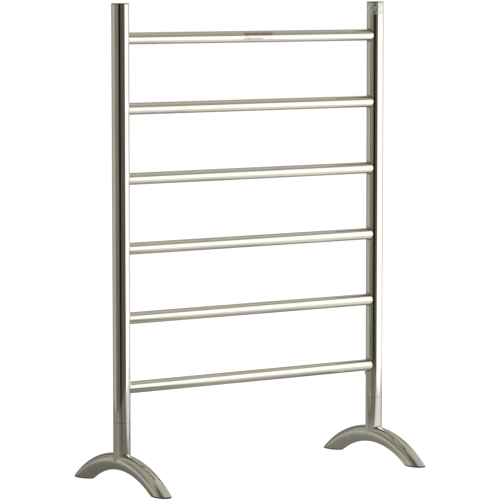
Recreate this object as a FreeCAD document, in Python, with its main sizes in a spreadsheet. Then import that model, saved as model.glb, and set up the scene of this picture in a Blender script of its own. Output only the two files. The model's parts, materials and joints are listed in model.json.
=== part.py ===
import FreeCAD, Part
import Sketcher
import math
import os
import re

# Free-standing electric towel warmer: two tube posts, six tube bars, two arched tube feet.
# Frame: X along the bars (left post at -X), -Y is the front, +Z up, origin on the floor
# below the middle of the rack.  Millimetres and degrees.

doc = FreeCAD.newDocument("TowelWarmerRack")
sheet = doc.addObject("Spreadsheet::Sheet", "Dims")

DIMENSIONS = [
    # overall
    ("overallHeight", 876, "floor to the top of the caps"),
    ("postSpacing", 575, "between the axes of the two posts"),
    ("topBarDrop", 63.6, "top of the caps to the axis of the top bar"),
    ("barCount", 6, "number of bars"),
    # tubes
    ("postDiameter", 32, "outside of posts, stems and foot arches"),
    ("postWall", 1.5, "wall of the posts"),
    ("stemWall", 1.5, "wall of the foot stems"),
    ("archWall", 1.5, "wall of the foot arches"),
    ("barDiameter", 22, "outside of the bars"),
    ("barWall", 1.2, "wall of the bars"),
    # feet
    ("archRadius", 210, "centre line of the foot arch"),
    ("archApexHeight", 45.5, "floor to the centre line at the top of the arch"),
    ("weldGap", 0.02, "between the stem's saddle and the arch"),
    ("stemRise", 72.5, "arch centre line up to the joint of stem and post"),
    ("lowestBarRise", 62.4, "joint up to the axis of the lowest bar"),
    ("spigotReach", 32, "spigot on each side of the joint"),
    ("spigotWall", 2.5, "wall of the spigot"),
    ("spigotGap", 0.1, "round the spigot"),
    ("fixingDiameter", 6, "set screws that hold the feet"),
    ("fixingHoleGap", 0.1, "round a set screw in the post wall"),
    ("fixingLength", 4.6, "length of a set screw"),
    ("fixingSocket", 3, "across the flats of its socket"),
    ("fixingSunk", 0.4, "its end under the post's crown"),
    ("fixingEdge", 9, "set screws from the joint and from the spigot's end"),
    ("padThickness", 2.5, "rubber pad under each foot end"),
    ("padInset", 0.4, "pad edge inside the tube's outline"),
    ("endPlateThickness", 2, "plate welded into each foot end"),
    ("endPlateGap", 0.05, "round the end plate"),
    ("padScrewDiameter", 4, "screw that holds a pad"),
    ("padScrewHead", 7.2, "head diameter"),
    ("padScrewHeadHeight", 1.1, "head height"),
    ("padScrewLength", 7, "under the head"),
    ("padSeatDepth", 1.5, "counterbore in the pad"),
    ("padSeatGap", 0.4, "round the head in the counterbore"),
    ("padHoleGap", 0.1, "round the shank in the pad"),
    # top caps
    ("capThickness", 2.5, "visible disc of a cap"),
    ("capPlugLength", 10, "plug inside the post"),
    ("capPlugWall", 2, "wall of the plug"),
    ("capGap", 0.05, "round the plug"),
    ("capEdge", 0.4, "bevel of the cap's top edge"),
    # heating cable
    ("cableDiameter", 5, "self-contained heating cable"),
    ("cableBend", 14, "centre-line radius of its bends"),
    ("cableOut", 4, "upright runs outside the post axis"),
    ("cableBack", 4, "climbing runs behind the post axis"),
    ("cableFront", 5, "returning run before the post axis"),
    ("cableEndRise", 24, "cable ends above the lowest bar"),
    ("spliceDiameter", 6.4, "crimped splice"),
    ("spliceGrip", 7, "length over the cable"),
    ("spliceWeb", 1, "closed middle of a splice"),
    ("spliceTail", 8, "length over the lead"),
    ("spliceGap", 0.05, "round cable and lead in a splice"),
    ("leadDiameter", 1.8, "insulated lead"),
    ("leadBend", 3, "centre-line radius of a lead's bends"),
    ("leadLap", 7, "lead inside the splice"),
    ("cutoutDiameter", 6.8, "thermal cut-out"),
    ("cutoutLength", 16, "thermal cut-out"),
    ("cutoutRise", 14, "cable end up to the cut-out"),
    # cord gland
    ("glandRise", 12.4, "spigot's end up to the gland"),
    ("glandBore", 7.2, "hole for a cord"),
    ("glandThread", 11.8, "outside of the threaded shank"),
    ("glandFlange", 16, "flange outside the post"),
    ("glandStand", 3.5, "flange face outside the post's crown"),
    ("glandDepth", 9, "shank inside the post's crown"),
    ("glandNutAcross", 14.5, "across the flats"),
    ("glandNutThickness", 3.6, "nut"),
    ("glandHoleGap", 0.1, "round the shank in the post wall"),
    ("threadGap", 0.05, "between a shank and its nut"),
    # earth stud
    ("earthRise", 62, "lowest bar up to the earth screw"),
    ("earthDiameter", 4, "earth screw"),
    ("earthHead", 7.6, "head diameter"),
    ("earthHeadHeight", 2.4, "head height"),
    ("earthLength", 7, "screw under its head"),
    ("earthHoleGap", 0.15, "round the screw in the post wall"),
    ("earthRingDiameter", 8, "ring terminal"),
    ("earthRingThickness", 0.8, "ring terminal"),
    ("earthBarrel", 3.4, "crimp barrel of the ring terminal"),
    ("earthBarrelBore", 2, "hole in the crimp barrel"),
    ("earthBarrelLength", 6, "crimp barrel"),
    ("earthNutAcross", 7, "across the flats"),
    ("earthNutThickness", 3.2, "nut"),
    # rocker switch
    ("switchRise", 82, "lowest bar up to the middle of the switch"),
    ("seatHeight", 18, "saddle under the switch flange, upright"),
    ("seatWidth", 13, "saddle across"),
    ("seatStand", 1.4, "saddle face outside the post's crown"),
    ("flangeHeight", 15.6, "switch flange, upright"),
    ("flangeWidth", 11, "switch flange across"),
    ("flangeThickness", 1.2, "switch flange"),
    ("housingHeight", 13.2, "switch housing, upright"),
    ("housingWidth", 8.6, "switch housing across"),
    ("housingDepth", 11.5, "switch housing behind its flange"),
    ("housingGap", 0.2, "round the housing in saddle and post"),
    ("wellHeight", 10.8, "well for the rocker, upright"),
    ("wellDepth", 5.2, "well behind the flange's back"),
    ("rockerHeight", 9.6, "rocker, upright"),
    ("rockerWidth", 6.1, "rocker across"),
    ("rockerGap", 0.15, "each side of the rocker"),
    ("rockerRise", 2.4, "rocker ends before the pivot"),
    ("rockerDip", 1.6, "rocker middle before the pivot"),
    ("rockerDepth", 3, "rocker behind the pivot"),
    ("rockerTilt", 9, "tilt each way, degrees"),
    ("pivotDepth", 0.6, "pivot behind the flange's back"),
    ("pivotDiameter", 1.5, "pivot stubs of the rocker"),
    ("pivotReach", 0.8, "stub inside the wall"),
    ("pivotGap", 0.05, "round and past a stub"),
    ("bladeWidth", 2.8, "switch terminal"),
    ("bladeThickness", 0.5, "switch terminal"),
    ("bladeLength", 5, "switch terminal"),
    ("bladePitch", 8, "between the terminals"),
    # labels
    ("labelThickness", 0.15, "both labels"),
    ("barLabelLength", 77, "blank label on the top bar"),
    ("barLabelShift", 2.5, "its middle, right of the rack's middle"),
    ("barLabelTurn", 105, "degrees round the bar"),
    ("barLabelStart", 112, "its upper edge, degrees up from the back"),
    ("postLabelHeight", 21.5, "clear wrap at the top of the right post"),
    ("postLabelTurn", 300, "degrees round the post"),
]

for row, (alias, number, note) in enumerate(DIMENSIONS, start=1):
    sheet.set("A%d" % row, note)
    sheet.set("B%d" % row, str(number))
    sheet.setAlias("B%d" % row, alias)
doc.recompute()
ALIASES = {alias for alias, number, note in DIMENSIONS}

# Sizes and places that follow from the driving dimensions.
DERIVED = {
    "postRadius": "postDiameter / 2",
    "postBore": "postRadius - postWall",
    "barRadius": "barDiameter / 2",
    "barBore": "barRadius - barWall",
    "postTop": "overallHeight - capThickness",
    "topBarHeight": "overallHeight - topBarDrop",
    "barPitch": "(topBarHeight - lowestBarHeight) / (barCount - 1)",
    "jointHeight": "archApexHeight + stemRise",
    "lowestBarHeight": "jointHeight + lowestBarRise",
    "archCentre": "archApexHeight - archRadius",
    "spigotRadius": "postBore - spigotGap",
    "plateTop": "padThickness + endPlateThickness",
    "endMiddle": "(sqrt((archRadius + postRadius)^2 - (padThickness - archCentre)^2)"
                 " + sqrt((archRadius - postRadius)^2 - (padThickness - archCentre)^2)) / 2",
    "glandHeight": "jointHeight + spigotReach + glandRise",
    "glandNutSeat": "sqrt(postBore^2 - (glandNutAcross / sqrt(3))^2)",
    "earthHeight": "lowestBarHeight + earthRise",
    "earthSeat": "sqrt(postBore^2 - (earthRingDiameter / 2)^2) - threadGap",
    "switchHeight": "lowestBarHeight + switchRise",
    "seatFace": "postRadius + seatStand",
    "pivotPlace": "seatFace - pivotDepth",
    "cableEnd": "lowestBarHeight + cableEndRise",
    "cutoutFoot": "cableEnd + cutoutRise",
    "wellWidth": "rockerWidth + 2 * rockerGap",
    "bladeFoot": "seatFace - housingDepth",
}

X_AXIS = FreeCAD.Rotation(FreeCAD.Vector(0, 1, 0), 90)
Y_AXIS = FreeCAD.Rotation(FreeCAD.Vector(1, 0, 0), -90)
Z_AXIS = FreeCAD.Rotation()


def ex(text):
    """Write out derived names and point the driving ones at the sheet."""
    text = str(text)
    word = re.compile(r"\b[A-Za-z]\w*\b")
    while any(name in DERIVED for name in word.findall(text)):
        text = word.sub(lambda m: "(" + DERIVED[m[0]] + ")" if m[0] in DERIVED else m[0], text)
    return word.sub(lambda m: "Dims." + m[0] if m[0] in ALIASES else m[0], text)


def value(text):
    return float(sheet.evalExpression(ex(text)))


def bind(obj, **sizes):
    for name, text in sizes.items():
        obj.setExpression(name, ex(text))
    return obj


def place(obj, x=0, y=0, z=0):
    for letter, text in zip("xyz", (x, y, z)):
        obj.setExpression("Placement.Base." + letter, ex(text))
    return obj


def cylinder(name, radius, length, x=0, y=0, z=0, turn=Z_AXIS):
    made = bind(doc.addObject("Part::Cylinder", name), Radius=radius, Height=length)
    made.Placement = FreeCAD.Placement(FreeCAD.Vector(), turn)
    return place(made, x, y, z)


def block(name, length, width, height, x=0, y=0, z=0):
    made = bind(doc.addObject("Part::Box", name), Length=length, Width=width, Height=height)
    return place(made, x, y, z)


def hexagon(name, across, length, x=0, y=0, z=0, turn=Z_AXIS):
    made = doc.addObject("Part::Prism", name)
    made.Polygon = 6
    bind(made, Circumradius="(%s) / sqrt(3)" % across, Height=length)
    made.Placement = FreeCAD.Placement(FreeCAD.Vector(), turn)
    return place(made, x, y, z)


def archTorus(name, radius):
    """Solid ring round the foot's bending axis; its middle is on the post's axis."""
    made = bind(doc.addObject("Part::Torus", name), Radius1="archRadius", Radius2=radius)
    made.Placement = FreeCAD.Placement(FreeCAD.Vector(), X_AXIS)
    return place(made, z="archCentre")


def slab(name, low, high):
    """Flat block, wider than a foot, between two heights."""
    reach = "(archRadius + postDiameter)"
    return block(name, "4 * postDiameter", "2 * " + reach, "(%s) - (%s)" % (high, low),
                 "-2 * postDiameter", "-" + reach, low)


def cut(name, base, *tools):
    made = base
    for number, tool in enumerate(tools, start=1):
        last = number == len(tools)
        step = doc.addObject("Part::Cut", name if last else "%s_cut%d" % (name, number))
        step.Base, step.Tool = made, tool
        made = step
    return made


def common(name, base, tool):
    made = doc.addObject("Part::Common", name)
    made.Base, made.Tool = base, tool
    return made


def fuse(name, *shapes):
    made = doc.addObject("Part::MultiFuse", name)
    made.Shapes = list(shapes)
    return made


def group(name, solids):
    made = doc.addObject("Part::Compound", name)
    made.Links = solids
    return made


NODES = []


def node(obj, label, x=0, y=0, z=0):
    """Name a sub-part and set it in its place."""
    obj.Label = label
    place(obj, x, y, z)
    NODES.append(obj)
    return obj


# PartDesign helpers

def newBody(name):
    return doc.addObject("PartDesign::Body", name)


def newSketch(body, name, role):
    made = body.newObject("Sketcher::SketchObject", name)
    plane = next(item for item in body.Origin.OriginFeatures if item.Role == role)
    made.AttachmentSupport = [(plane, "")]
    made.MapMode = "FlatFace"
    return made


def pinPoint(sketch, geometry, corner, x, y):
    """Tie one point of a sketch to the axes by the two expressions."""
    for kind, text, axis in (("DistanceX", x, -2), ("DistanceY", y, -1)):
        number = value(text)
        if abs(number) < 1e-9:
            sketch.addConstraint(Sketcher.Constraint("PointOnObject", geometry, corner, axis))
            continue
        index = sketch.addConstraint(Sketcher.Constraint(kind, -1, 1, geometry, corner, number))
        sketch.setExpression("Constraints[%d]" % index, ex(text))


def outline(body, name, role, points):
    """Closed outline of straight edges through points given as expressions."""
    sketch = newSketch(body, name, role)
    spots = [FreeCAD.Vector(value(x), value(y), 0) for x, y in points]
    count = len(points)
    for index in range(count):
        sketch.addGeometry(Part.LineSegment(spots[index], spots[(index + 1) % count]), False)
    for index in range(count):
        sketch.addConstraint(Sketcher.Constraint("Coincident", index, 2, (index + 1) % count, 1))
    for index, (x, y) in enumerate(points):
        pinPoint(sketch, index, 1, x, y)
    return sketch


def disc(body, name, role, x, y, radius):
    sketch = newSketch(body, name, role)
    spot = FreeCAD.Vector(value(x), value(y), 0)
    sketch.addGeometry(Part.Circle(spot, FreeCAD.Vector(0, 0, 1), value(radius)), False)
    pinPoint(sketch, 0, 3, x, y)
    index = sketch.addConstraint(Sketcher.Constraint("Radius", 0, value(radius)))
    sketch.setExpression("Constraints[%d]" % index, ex(radius))
    return sketch


def rectangle(body, name, role, x0, x1, y0, y1):
    return outline(body, name, role, [(x0, y0), (x1, y0), (x1, y1), (x0, y1)])


def revolve(body, name, sketch):
    made = body.newObject("PartDesign::Revolution", name)
    made.Profile = sketch
    made.ReferenceAxis = (sketch, ["V_Axis"])
    made.Angle = 360
    return made


def symmetric(body, kind, name, sketch, length):
    """Pad or Pocket that runs the same way to both sides of its sketch."""
    made = body.newObject("PartDesign::" + kind, name)
    made.Profile = sketch
    made.SideType = "Symmetric"
    return bind(made, Length=length)


SIDES = (("left", -1), ("right", 1))


def postX(sign):
    return "%d * postSpacing / 2" % sign


def barHeight(number):
    """Bar 1 is the top one."""
    return "lowestBarHeight + (barCount - %d) * barPitch" % number


BARS = range(1, int(value("barCount")) + 1)


# Posts: plain tubes with a hole for each bar on the inner side.

# Set screws near the joint and near the spigot's upper end.
FIXINGS = (("lower", "jointHeight + fixingEdge"),
           ("upper", "jointHeight + spigotReach - fixingEdge"))

for side, sign in SIDES:
    tube = cylinder(side + "PostTube", "postRadius", "postTop - jointHeight", z="jointHeight")
    bore = cylinder(side + "PostBore", "postBore", "postTop - jointHeight", z="jointHeight")
    tools = [bore]
    for number in BARS:
        start = "-postDiameter" if sign > 0 else "0"
        tools.append(cylinder("%sBarHole%d" % (side, number), "barBore", "postDiameter",
                              x=start, z=barHeight(number), turn=X_AXIS))
    for which, height in FIXINGS:
        tools.append(cylinder(side + which + "FixingHole", "fixingDiameter / 2 + fixingHoleGap",
                              "postDiameter", z=height, turn=Y_AXIS))
    if sign > 0:
        tools.append(cylinder("glandHole", "glandThread / 2 + glandHoleGap", "postDiameter",
                              z="glandHeight", turn=Y_AXIS))
        tools.append(cylinder("earthHole", "earthDiameter / 2 + earthHoleGap", "postDiameter",
                              z="earthHeight", turn=Y_AXIS))
        tools.append(block("switchSlot", "housingWidth + 2 * housingGap", "postDiameter",
                           "housingHeight + 2 * housingGap",
                           x="-housingWidth / 2 - housingGap",
                           z="switchHeight - housingHeight / 2 - housingGap"))
    node(cut(side + "Post", tube, *tools), side + "_post", x=postX(sign))


# Bars: coped at both ends against the posts.

for number in BARS:
    name = "bar%d" % number
    rod = cylinder(name + "Rod", "barRadius", "postSpacing", x="-postSpacing / 2", turn=X_AXIS)
    bore = cylinder(name + "Bore", "barBore", "postSpacing", x="-postSpacing / 2", turn=X_AXIS)
    copes = [cylinder("%sCope%s" % (name, side), "postRadius", "2 * postDiameter",
                      x=postX(sign), z="-postDiameter") for side, sign in SIDES]
    node(cut(name, rod, bore, *copes), "towel_bar_%d" % number, z=barHeight(number))


# Top caps: a disc with a hollow plug.

for side, sign in SIDES:
    body = newBody(side + "Cap")
    plug = "postBore - capGap"
    inner = "postBore - capGap - capPlugWall"
    profile = outline(body, side + "CapProfile", "XZ_Plane", [
        ("0", "0"), (inner, "0"), (inner, "-capPlugLength"), (plug, "-capPlugLength"), (plug, "0"),
        ("postRadius", "0"), ("postRadius", "capThickness - capEdge"),
        ("postRadius - capEdge", "capThickness"), ("0", "capThickness")])
    revolve(body, side + "CapTurned", profile)
    node(body, side + "_top_cap", x=postX(sign), z="postTop")


# Feet: bent tube arch, coped stem, spigot, end plates and pads.

for side, sign in SIDES:
    hollow = cut(side + "ArchHollow", archTorus(side + "ArchTube", "postRadius"),
                 archTorus(side + "ArchBore", "postRadius - archWall"))
    above = slab(side + "ArchSlab", "padThickness", "archApexHeight + postDiameter")
    node(common(side + "Arch", hollow, above), side + "_foot_arch", x=postX(sign))

    stemLength = "jointHeight - archApexHeight"
    stem = cut(side + "Stem",
               cylinder(side + "StemTube", "postRadius", stemLength, z="archApexHeight"),
               cylinder(side + "StemBore", "postRadius - stemWall", stemLength, z="archApexHeight"),
               archTorus(side + "StemSaddle", "postRadius + weldGap"))
    node(stem, side + "_foot_stem", x=postX(sign))

    foot = "jointHeight - spigotReach"
    tools = [cylinder(side + "SpigotBore", "spigotRadius - spigotWall", "2 * spigotReach", z=foot)]
    for which, height in FIXINGS:
        tools.append(cylinder(side + which + "SpigotTap", "fixingDiameter / 2", "postDiameter",
                              z=height, turn=Y_AXIS))
    spigot = cut(side + "Spigot",
                 cylinder(side + "SpigotTube", "spigotRadius", "2 * spigotReach", z=foot), *tools)
    node(spigot, side + "_foot_spigot", x=postX(sign))

    for end, way in (("front", -1), ("back", 1)):
        name = side + end.capitalize()
        middle = "%d * endMiddle" % way
        half = block(name + "Half", "4 * postDiameter", "archRadius + postDiameter", "postDiameter",
                     x="-2 * postDiameter", y="0" if way > 0 else "-archRadius - postDiameter")
        ring = common(name + "PlateEnd", archTorus(name + "PlateRing",
                      "postRadius - archWall - endPlateGap"), half)
        disk = common(name + "PlateDisc", ring, slab(name + "PlateSlab", "padThickness", "plateTop"))
        tap = cylinder(name + "PlateTap", "padScrewDiameter / 2", "2 * plateTop", y=middle)
        node(cut(name + "Plate", disk, tap), "%s_%s_end_plate" % (side, end), x=postX(sign))

        padHalf = block(name + "PadHalf", "4 * postDiameter", "archRadius + postDiameter",
                        "padThickness", x="-2 * postDiameter",
                        y="0" if way > 0 else "-archRadius - postDiameter")
        rubber = common(name + "PadBlank", archTorus(name + "PadRing", "postRadius - padInset"),
                        padHalf)
        seat = cylinder(name + "PadSeat", "padScrewHead / 2 + padSeatGap", "padSeatDepth", y=middle)
        hole = cylinder(name + "PadHole", "padScrewDiameter / 2 + padHoleGap", "padThickness",
                        y=middle)
        node(cut(name + "Pad", rubber, seat, hole), "%s_%s_pad" % (side, end), x=postX(sign))

fixings = []
padScrews = []
for side, sign in SIDES:
    for which, height in FIXINGS:
        name = side + which + "Fixing"
        inner = "postRadius - fixingSunk - fixingLength"
        rod = cylinder(name + "Rod", "fixingDiameter / 2", "fixingLength",
                       postX(sign), inner, height, Y_AXIS)
        socket = hexagon(name + "Socket", "fixingSocket", "fixingLength", postX(sign),
                         inner + " + fixingLength / 2", height, Y_AXIS)
        fixings.append(cut(name, rod, socket))
    for way in (-1, 1):
        name = "%sPadScrew%d" % (side, (way + 3) / 2)
        middle = "%d * endMiddle" % way
        head = cylinder(name + "Head", "padScrewHead / 2", "padScrewHeadHeight",
                        postX(sign), middle, "padSeatDepth - padScrewHeadHeight")
        shank = cylinder(name + "Shank", "padScrewDiameter / 2", "padScrewLength",
                         postX(sign), middle, "padSeatDepth")
        padScrews.append(fuse(name, head, shank))
node(group("footFixings", fixings), "foot_fixing_screws")
node(group("padScrews", padScrews), "pad_screws")


# Heating cable: up through all the bars in a zigzag and back down the right post.

def roundedPath(points, radius):
    """Straight runs through the points, joined by tangent arcs, and their length."""
    edges = []
    here = points[0]
    length = 0.0
    for before, corner, after in zip(points, points[1:], points[2:]):
        come = (corner - before).normalize()
        go = (after - corner).normalize()
        turn = come.getAngle(go)
        back = radius * math.tan(turn / 2)
        start = corner - come * back
        end = corner + go * back
        inward = (go - come).normalize()
        middle = corner + inward * (radius / math.cos(turn / 2) - radius)
        edges.append(Part.LineSegment(here, start).toShape())
        edges.append(Part.Arc(start, middle, end).toShape())
        length += (start - here).Length + radius * turn
        here = end
    edges.append(Part.LineSegment(here, points[-1]).toShape())
    length += (points[-1] - here).Length
    return Part.Wire(edges), length


def tubeAlong(name, points, diameter, radius):
    """Round solid along a rounded path; says how its volume compares."""
    path, length = roundedPath(points, radius)
    start = points[0]
    ring = Part.Wire(Part.Circle(start, points[1] - start, diameter / 2).toShape())
    solid = path.makePipeShell([ring], True, False)
    ideal = math.pi * diameter ** 2 / 4 * length
    print("%s: length %.1f, bend radius %.1f, volume over section x length %.5f"
          % (name, length, radius, solid.Volume / ideal))
    return solid


def cablePoints():
    right = value("postSpacing / 2 + cableOut")
    back = value("cableBack")
    front = -value("cableFront")
    heights = [value(barHeight(number)) for number in reversed(BARS)]
    points = [FreeCAD.Vector(right, back, value("cableEnd"))]
    x = right
    for height in heights[:-1]:
        points.append(FreeCAD.Vector(x, back, height))
        x = -x
        points.append(FreeCAD.Vector(x, back, height))
    points.append(FreeCAD.Vector(x, front, heights[-1]))
    points.append(FreeCAD.Vector(-x, front, heights[-1]))
    points.append(FreeCAD.Vector(-x, front, value("cableEnd")))
    return points


def featureFromShape(name, shape):
    made = doc.addObject("Part::Feature", name)
    made.Shape = shape
    made.Placement = FreeCAD.Placement()
    return made


cable = featureFromShape("heatingCable", tubeAlong(
    "heating_cable", cablePoints(), value("cableDiameter"), value("cableBend")))
node(cable, "heating_cable")

# The live end comes up out of the lowest bar, and the return end comes down to it.
spliceX = "postSpacing / 2 + cableOut"
splices = []
for name, spliceY, grips, tails in (
        ("liveSplice", "cableBack", "cableEnd - spliceGrip", "cableEnd + spliceWeb"),
        ("returnSplice", "-cableFront", "cableEnd", "cableEnd - spliceWeb - spliceTail")):
    foot = grips if name == "liveSplice" else tails
    sleeve = cylinder(name + "Sleeve", "spliceDiameter / 2", "spliceGrip + spliceWeb + spliceTail",
                      spliceX, spliceY, foot)
    grip = cylinder(name + "Grip", "cableDiameter / 2 + spliceGap", "spliceGrip",
                    spliceX, spliceY, grips)
    tail = cylinder(name + "Tail", "leadDiameter / 2 + spliceGap", "spliceTail",
                    spliceX, spliceY, tails)
    splices.append(cut(name, sleeve, grip, tail))
node(group("cableSplices", splices), "cable_splices")

node(cylinder("cutout", "cutoutDiameter / 2", "cutoutLength"), "thermal_cutout",
     spliceX, "cableBack", "cutoutFoot")

lowerLead = cylinder("lowerLead", "leadDiameter / 2", "cutoutRise - spliceWeb - spliceTail + leadLap",
                     spliceX, "cableBack", "cableEnd + spliceWeb + spliceTail - leadLap")


def upperLeadPoints():
    """From the cut-out up to the underside of the lower switch terminal."""
    x0 = value(spliceX)
    x1 = value("postSpacing / 2")
    y0 = value("cableBack")
    y1 = value("bladeFoot - bladeLength / 2")
    bottom = value("cutoutFoot + cutoutLength")
    top = value("switchHeight - bladePitch / 2 - bladeThickness / 2")
    third = (top - bottom) / 3
    return [FreeCAD.Vector(x0, y0, bottom), FreeCAD.Vector(x0, y0, bottom + third),
            FreeCAD.Vector(x1, y1, top - third), FreeCAD.Vector(x1, y1, top)]


upperLead = featureFromShape("upperLead", tubeAlong(
    "upper cut-out lead", upperLeadPoints(), value("leadDiameter"), value("leadBend")))
node(group("cutoutLeads", [lowerLead, upperLead]), "cutout_leads")


# Cord gland with its nut, low on the back of the right post.

rightX = "postSpacing / 2"
flange = cut("glandSaddle",
             cylinder("glandDisc", "glandFlange / 2", "glandStand + postRadius / 2",
                      y="postRadius / 2", turn=Y_AXIS),
             cylinder("glandPost", "postRadius", "postDiameter", z="-postDiameter / 2"))
shank = cylinder("glandShank", "glandThread / 2", "glandDepth + glandStand",
                 y="postRadius - glandDepth", turn=Y_AXIS)
cordHole = cylinder("glandCordHole", "glandBore / 2", "2 * postDiameter", turn=Y_AXIS)
node(cut("gland", fuse("glandWhole", flange, shank), cordHole), "cord_gland",
     rightX, 0, "glandHeight")

node(cut("glandNut",
         hexagon("glandNutHex", "glandNutAcross", "glandNutThickness",
                 y="glandNutSeat - glandNutThickness", turn=Y_AXIS),
         cylinder("glandNutBore", "glandThread / 2 + threadGap", "postDiameter", turn=Y_AXIS)),
     "gland_nut", rightX, 0, "glandHeight")


# Earth screw, ring terminal and nut.

body = newBody("earthScrew")
profile = outline(body, "earthScrewProfile", "XY_Plane", [
    ("0", "-earthLength"), ("earthDiameter / 2", "-earthLength"), ("earthDiameter / 2", "0"),
    ("earthHead / 2", "0"), ("earthHead / 2", "earthHeadHeight / 2"),
    ("earthHead / 4", "earthHeadHeight"), ("0", "earthHeadHeight")])
revolve(body, "earthScrewTurned", profile)
slotSketch = rectangle(body, "earthSlotSketch", "YZ_Plane", "earthHeadHeight / 2",
                       "2 * earthHeadHeight", "-earthDiameter / 8", "earthDiameter / 8")
symmetric(body, "Pocket", "earthSlot", slotSketch, "2 * earthHead")
node(body, "earth_screw", rightX, "postRadius", "earthHeight")

ring = cylinder("earthRingDisc", "earthRingDiameter / 2", "earthRingThickness",
                y="earthSeat - earthRingThickness", turn=Y_AXIS)
neck = block("earthNeck", "earthBarrel", "earthRingThickness", "earthRingDiameter / 2 + earthBarrel",
             "-earthBarrel / 2", "earthSeat - earthRingThickness",
             "-earthRingDiameter / 2 - earthBarrel")
barrelTop = "-earthRingDiameter / 2 - earthBarrel"
barrelY = "earthSeat - earthBarrel / 2"
barrel = cylinder("earthBarrelRod", "earthBarrel / 2", "earthBarrelLength", y=barrelY,
                  z=barrelTop + " - earthBarrelLength + earthRingThickness")
screwHole = cylinder("earthRingHole", "earthDiameter / 2 + earthHoleGap", "postDiameter",
                     turn=Y_AXIS)
wireHole = cylinder("earthWireHole", "earthBarrelBore / 2", "earthBarrelLength", y=barrelY,
                    z=barrelTop + " - earthBarrelLength")
node(cut("earthRing", fuse("earthRingWhole", ring, neck, barrel), screwHole, wireHole),
     "earth_ring_terminal", rightX, 0, "earthHeight")

node(cut("earthNut",
         hexagon("earthNutHex", "earthNutAcross", "earthNutThickness",
                 y="earthSeat - earthRingThickness - earthNutThickness", turn=Y_AXIS),
         cylinder("earthNutBore", "earthDiameter / 2 + threadGap", "postDiameter", turn=Y_AXIS)),
     "earth_nut", rightX, 0, "earthHeight")


# Rocker switch on the back of the right post: saddle, housing, rocker and terminals.

saddle = cut("switchSaddle",
             block("saddleBlock", "seatWidth", "postRadius + seatStand", "seatHeight",
                   "-seatWidth / 2", 0, "-seatHeight / 2"),
             cylinder("saddlePost", "postRadius", "2 * seatHeight", z="-seatHeight"),
             block("saddleHole", "housingWidth + 2 * housingGap", "postDiameter",
                   "housingHeight + 2 * housingGap", "-housingWidth / 2 - housingGap", 0,
                   "-housingHeight / 2 - housingGap"))
node(saddle, "switch_saddle", rightX, 0, "switchHeight")

body = newBody("switchHousing")
symmetric(body, "Pad", "housingFlange",
          rectangle(body, "flangeSketch", "YZ_Plane", "0", "flangeThickness",
                    "-flangeHeight / 2", "flangeHeight / 2"), "flangeWidth")
symmetric(body, "Pad", "housingBlock",
          rectangle(body, "blockSketch", "YZ_Plane", "-housingDepth", "0",
                    "-housingHeight / 2", "housingHeight / 2"), "housingWidth")
symmetric(body, "Pocket", "housingWell",
          rectangle(body, "wellSketch", "YZ_Plane", "-wellDepth", "2 * flangeThickness",
                    "-wellHeight / 2", "wellHeight / 2"), "wellWidth")
symmetric(body, "Pocket", "housingPivot",
          disc(body, "pivotHoleSketch", "YZ_Plane", "-pivotDepth", "0",
               "pivotDiameter / 2 + pivotGap"), "rockerWidth + 2 * pivotReach + 2 * pivotGap")
node(body, "switch_housing", rightX, "seatFace", "switchHeight")

body = newBody("switchRocker")
symmetric(body, "Pad", "rockerBlock", outline(body, "rockerSketch", "YZ_Plane", [
    ("-rockerDepth", "-rockerHeight / 4"), ("-rockerDepth", "rockerHeight / 4"),
    ("-rockerDepth / 3", "rockerHeight / 2"), ("rockerRise", "rockerHeight / 2"),
    ("rockerDip", "0"), ("rockerRise", "-rockerHeight / 2"),
    ("-rockerDepth / 3", "-rockerHeight / 2")]), "rockerWidth")
symmetric(body, "Pad", "rockerPivot",
          disc(body, "pivotSketch", "YZ_Plane", "0", "0", "pivotDiameter / 2"),
          "rockerWidth + 2 * pivotReach")
# At rest the rocker is off: it is tilted with its lower end out.
body.Placement = FreeCAD.Placement(
    FreeCAD.Vector(), FreeCAD.Rotation(FreeCAD.Vector(1, 0, 0), value("rockerTilt")))
node(body, "switch_rocker", rightX, "pivotPlace", "switchHeight")

blades = []
for number, way in enumerate((-1, 1)):
    blades.append(block("switchBlade%d" % number, "bladeWidth", "bladeLength", "bladeThickness",
                        "postSpacing / 2 - bladeWidth / 2", "bladeFoot - bladeLength",
                        "switchHeight + %d * bladePitch / 2 - bladeThickness / 2" % way))
node(group("switchTerminals", blades), "switch_terminals")


# Labels: thin and blank.

def sector(name, radius, length, degrees, turn):
    made = bind(doc.addObject("Part::Cylinder", name), Radius=radius, Height=length, Angle=degrees)
    made.Placement = FreeCAD.Placement(FreeCAD.Vector(), turn)
    return made


wrapStart = FreeCAD.Rotation(FreeCAD.Vector(0, 0, 1), 90 + (360 - value("postLabelTurn")) / 2)
wrap = cut("postLabel",
           sector("postLabelWrap", "postRadius + labelThickness", "postLabelHeight",
                  "postLabelTurn", wrapStart),
           cylinder("postLabelCore", "postRadius", "2 * postLabelHeight", z="-postLabelHeight / 2"))
node(wrap, "post_label", rightX, 0, "postTop - postLabelHeight")

# Angles round the bar run from the back (+Y) up over the top towards the front.
aroundBar = FreeCAD.Rotation(FreeCAD.Vector(0, 1, 0), FreeCAD.Vector(0, 0, 1),
                             FreeCAD.Vector(1, 0, 0), "ZXY")
labelStart = FreeCAD.Rotation(FreeCAD.Vector(1, 0, 0), value("barLabelStart"))
strip = cut("barLabel",
            sector("barLabelWrap", "barRadius + labelThickness", "barLabelLength",
                   "barLabelTurn", labelStart.multiply(aroundBar)),
            cylinder("barLabelCore", "barRadius", "2 * barLabelLength",
                     x="-barLabelLength / 2", turn=X_AXIS))
node(strip, "bar_label", "barLabelShift - barLabelLength / 2", 0, barHeight(1))


# Checks, then one file for each sub-part.

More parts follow.
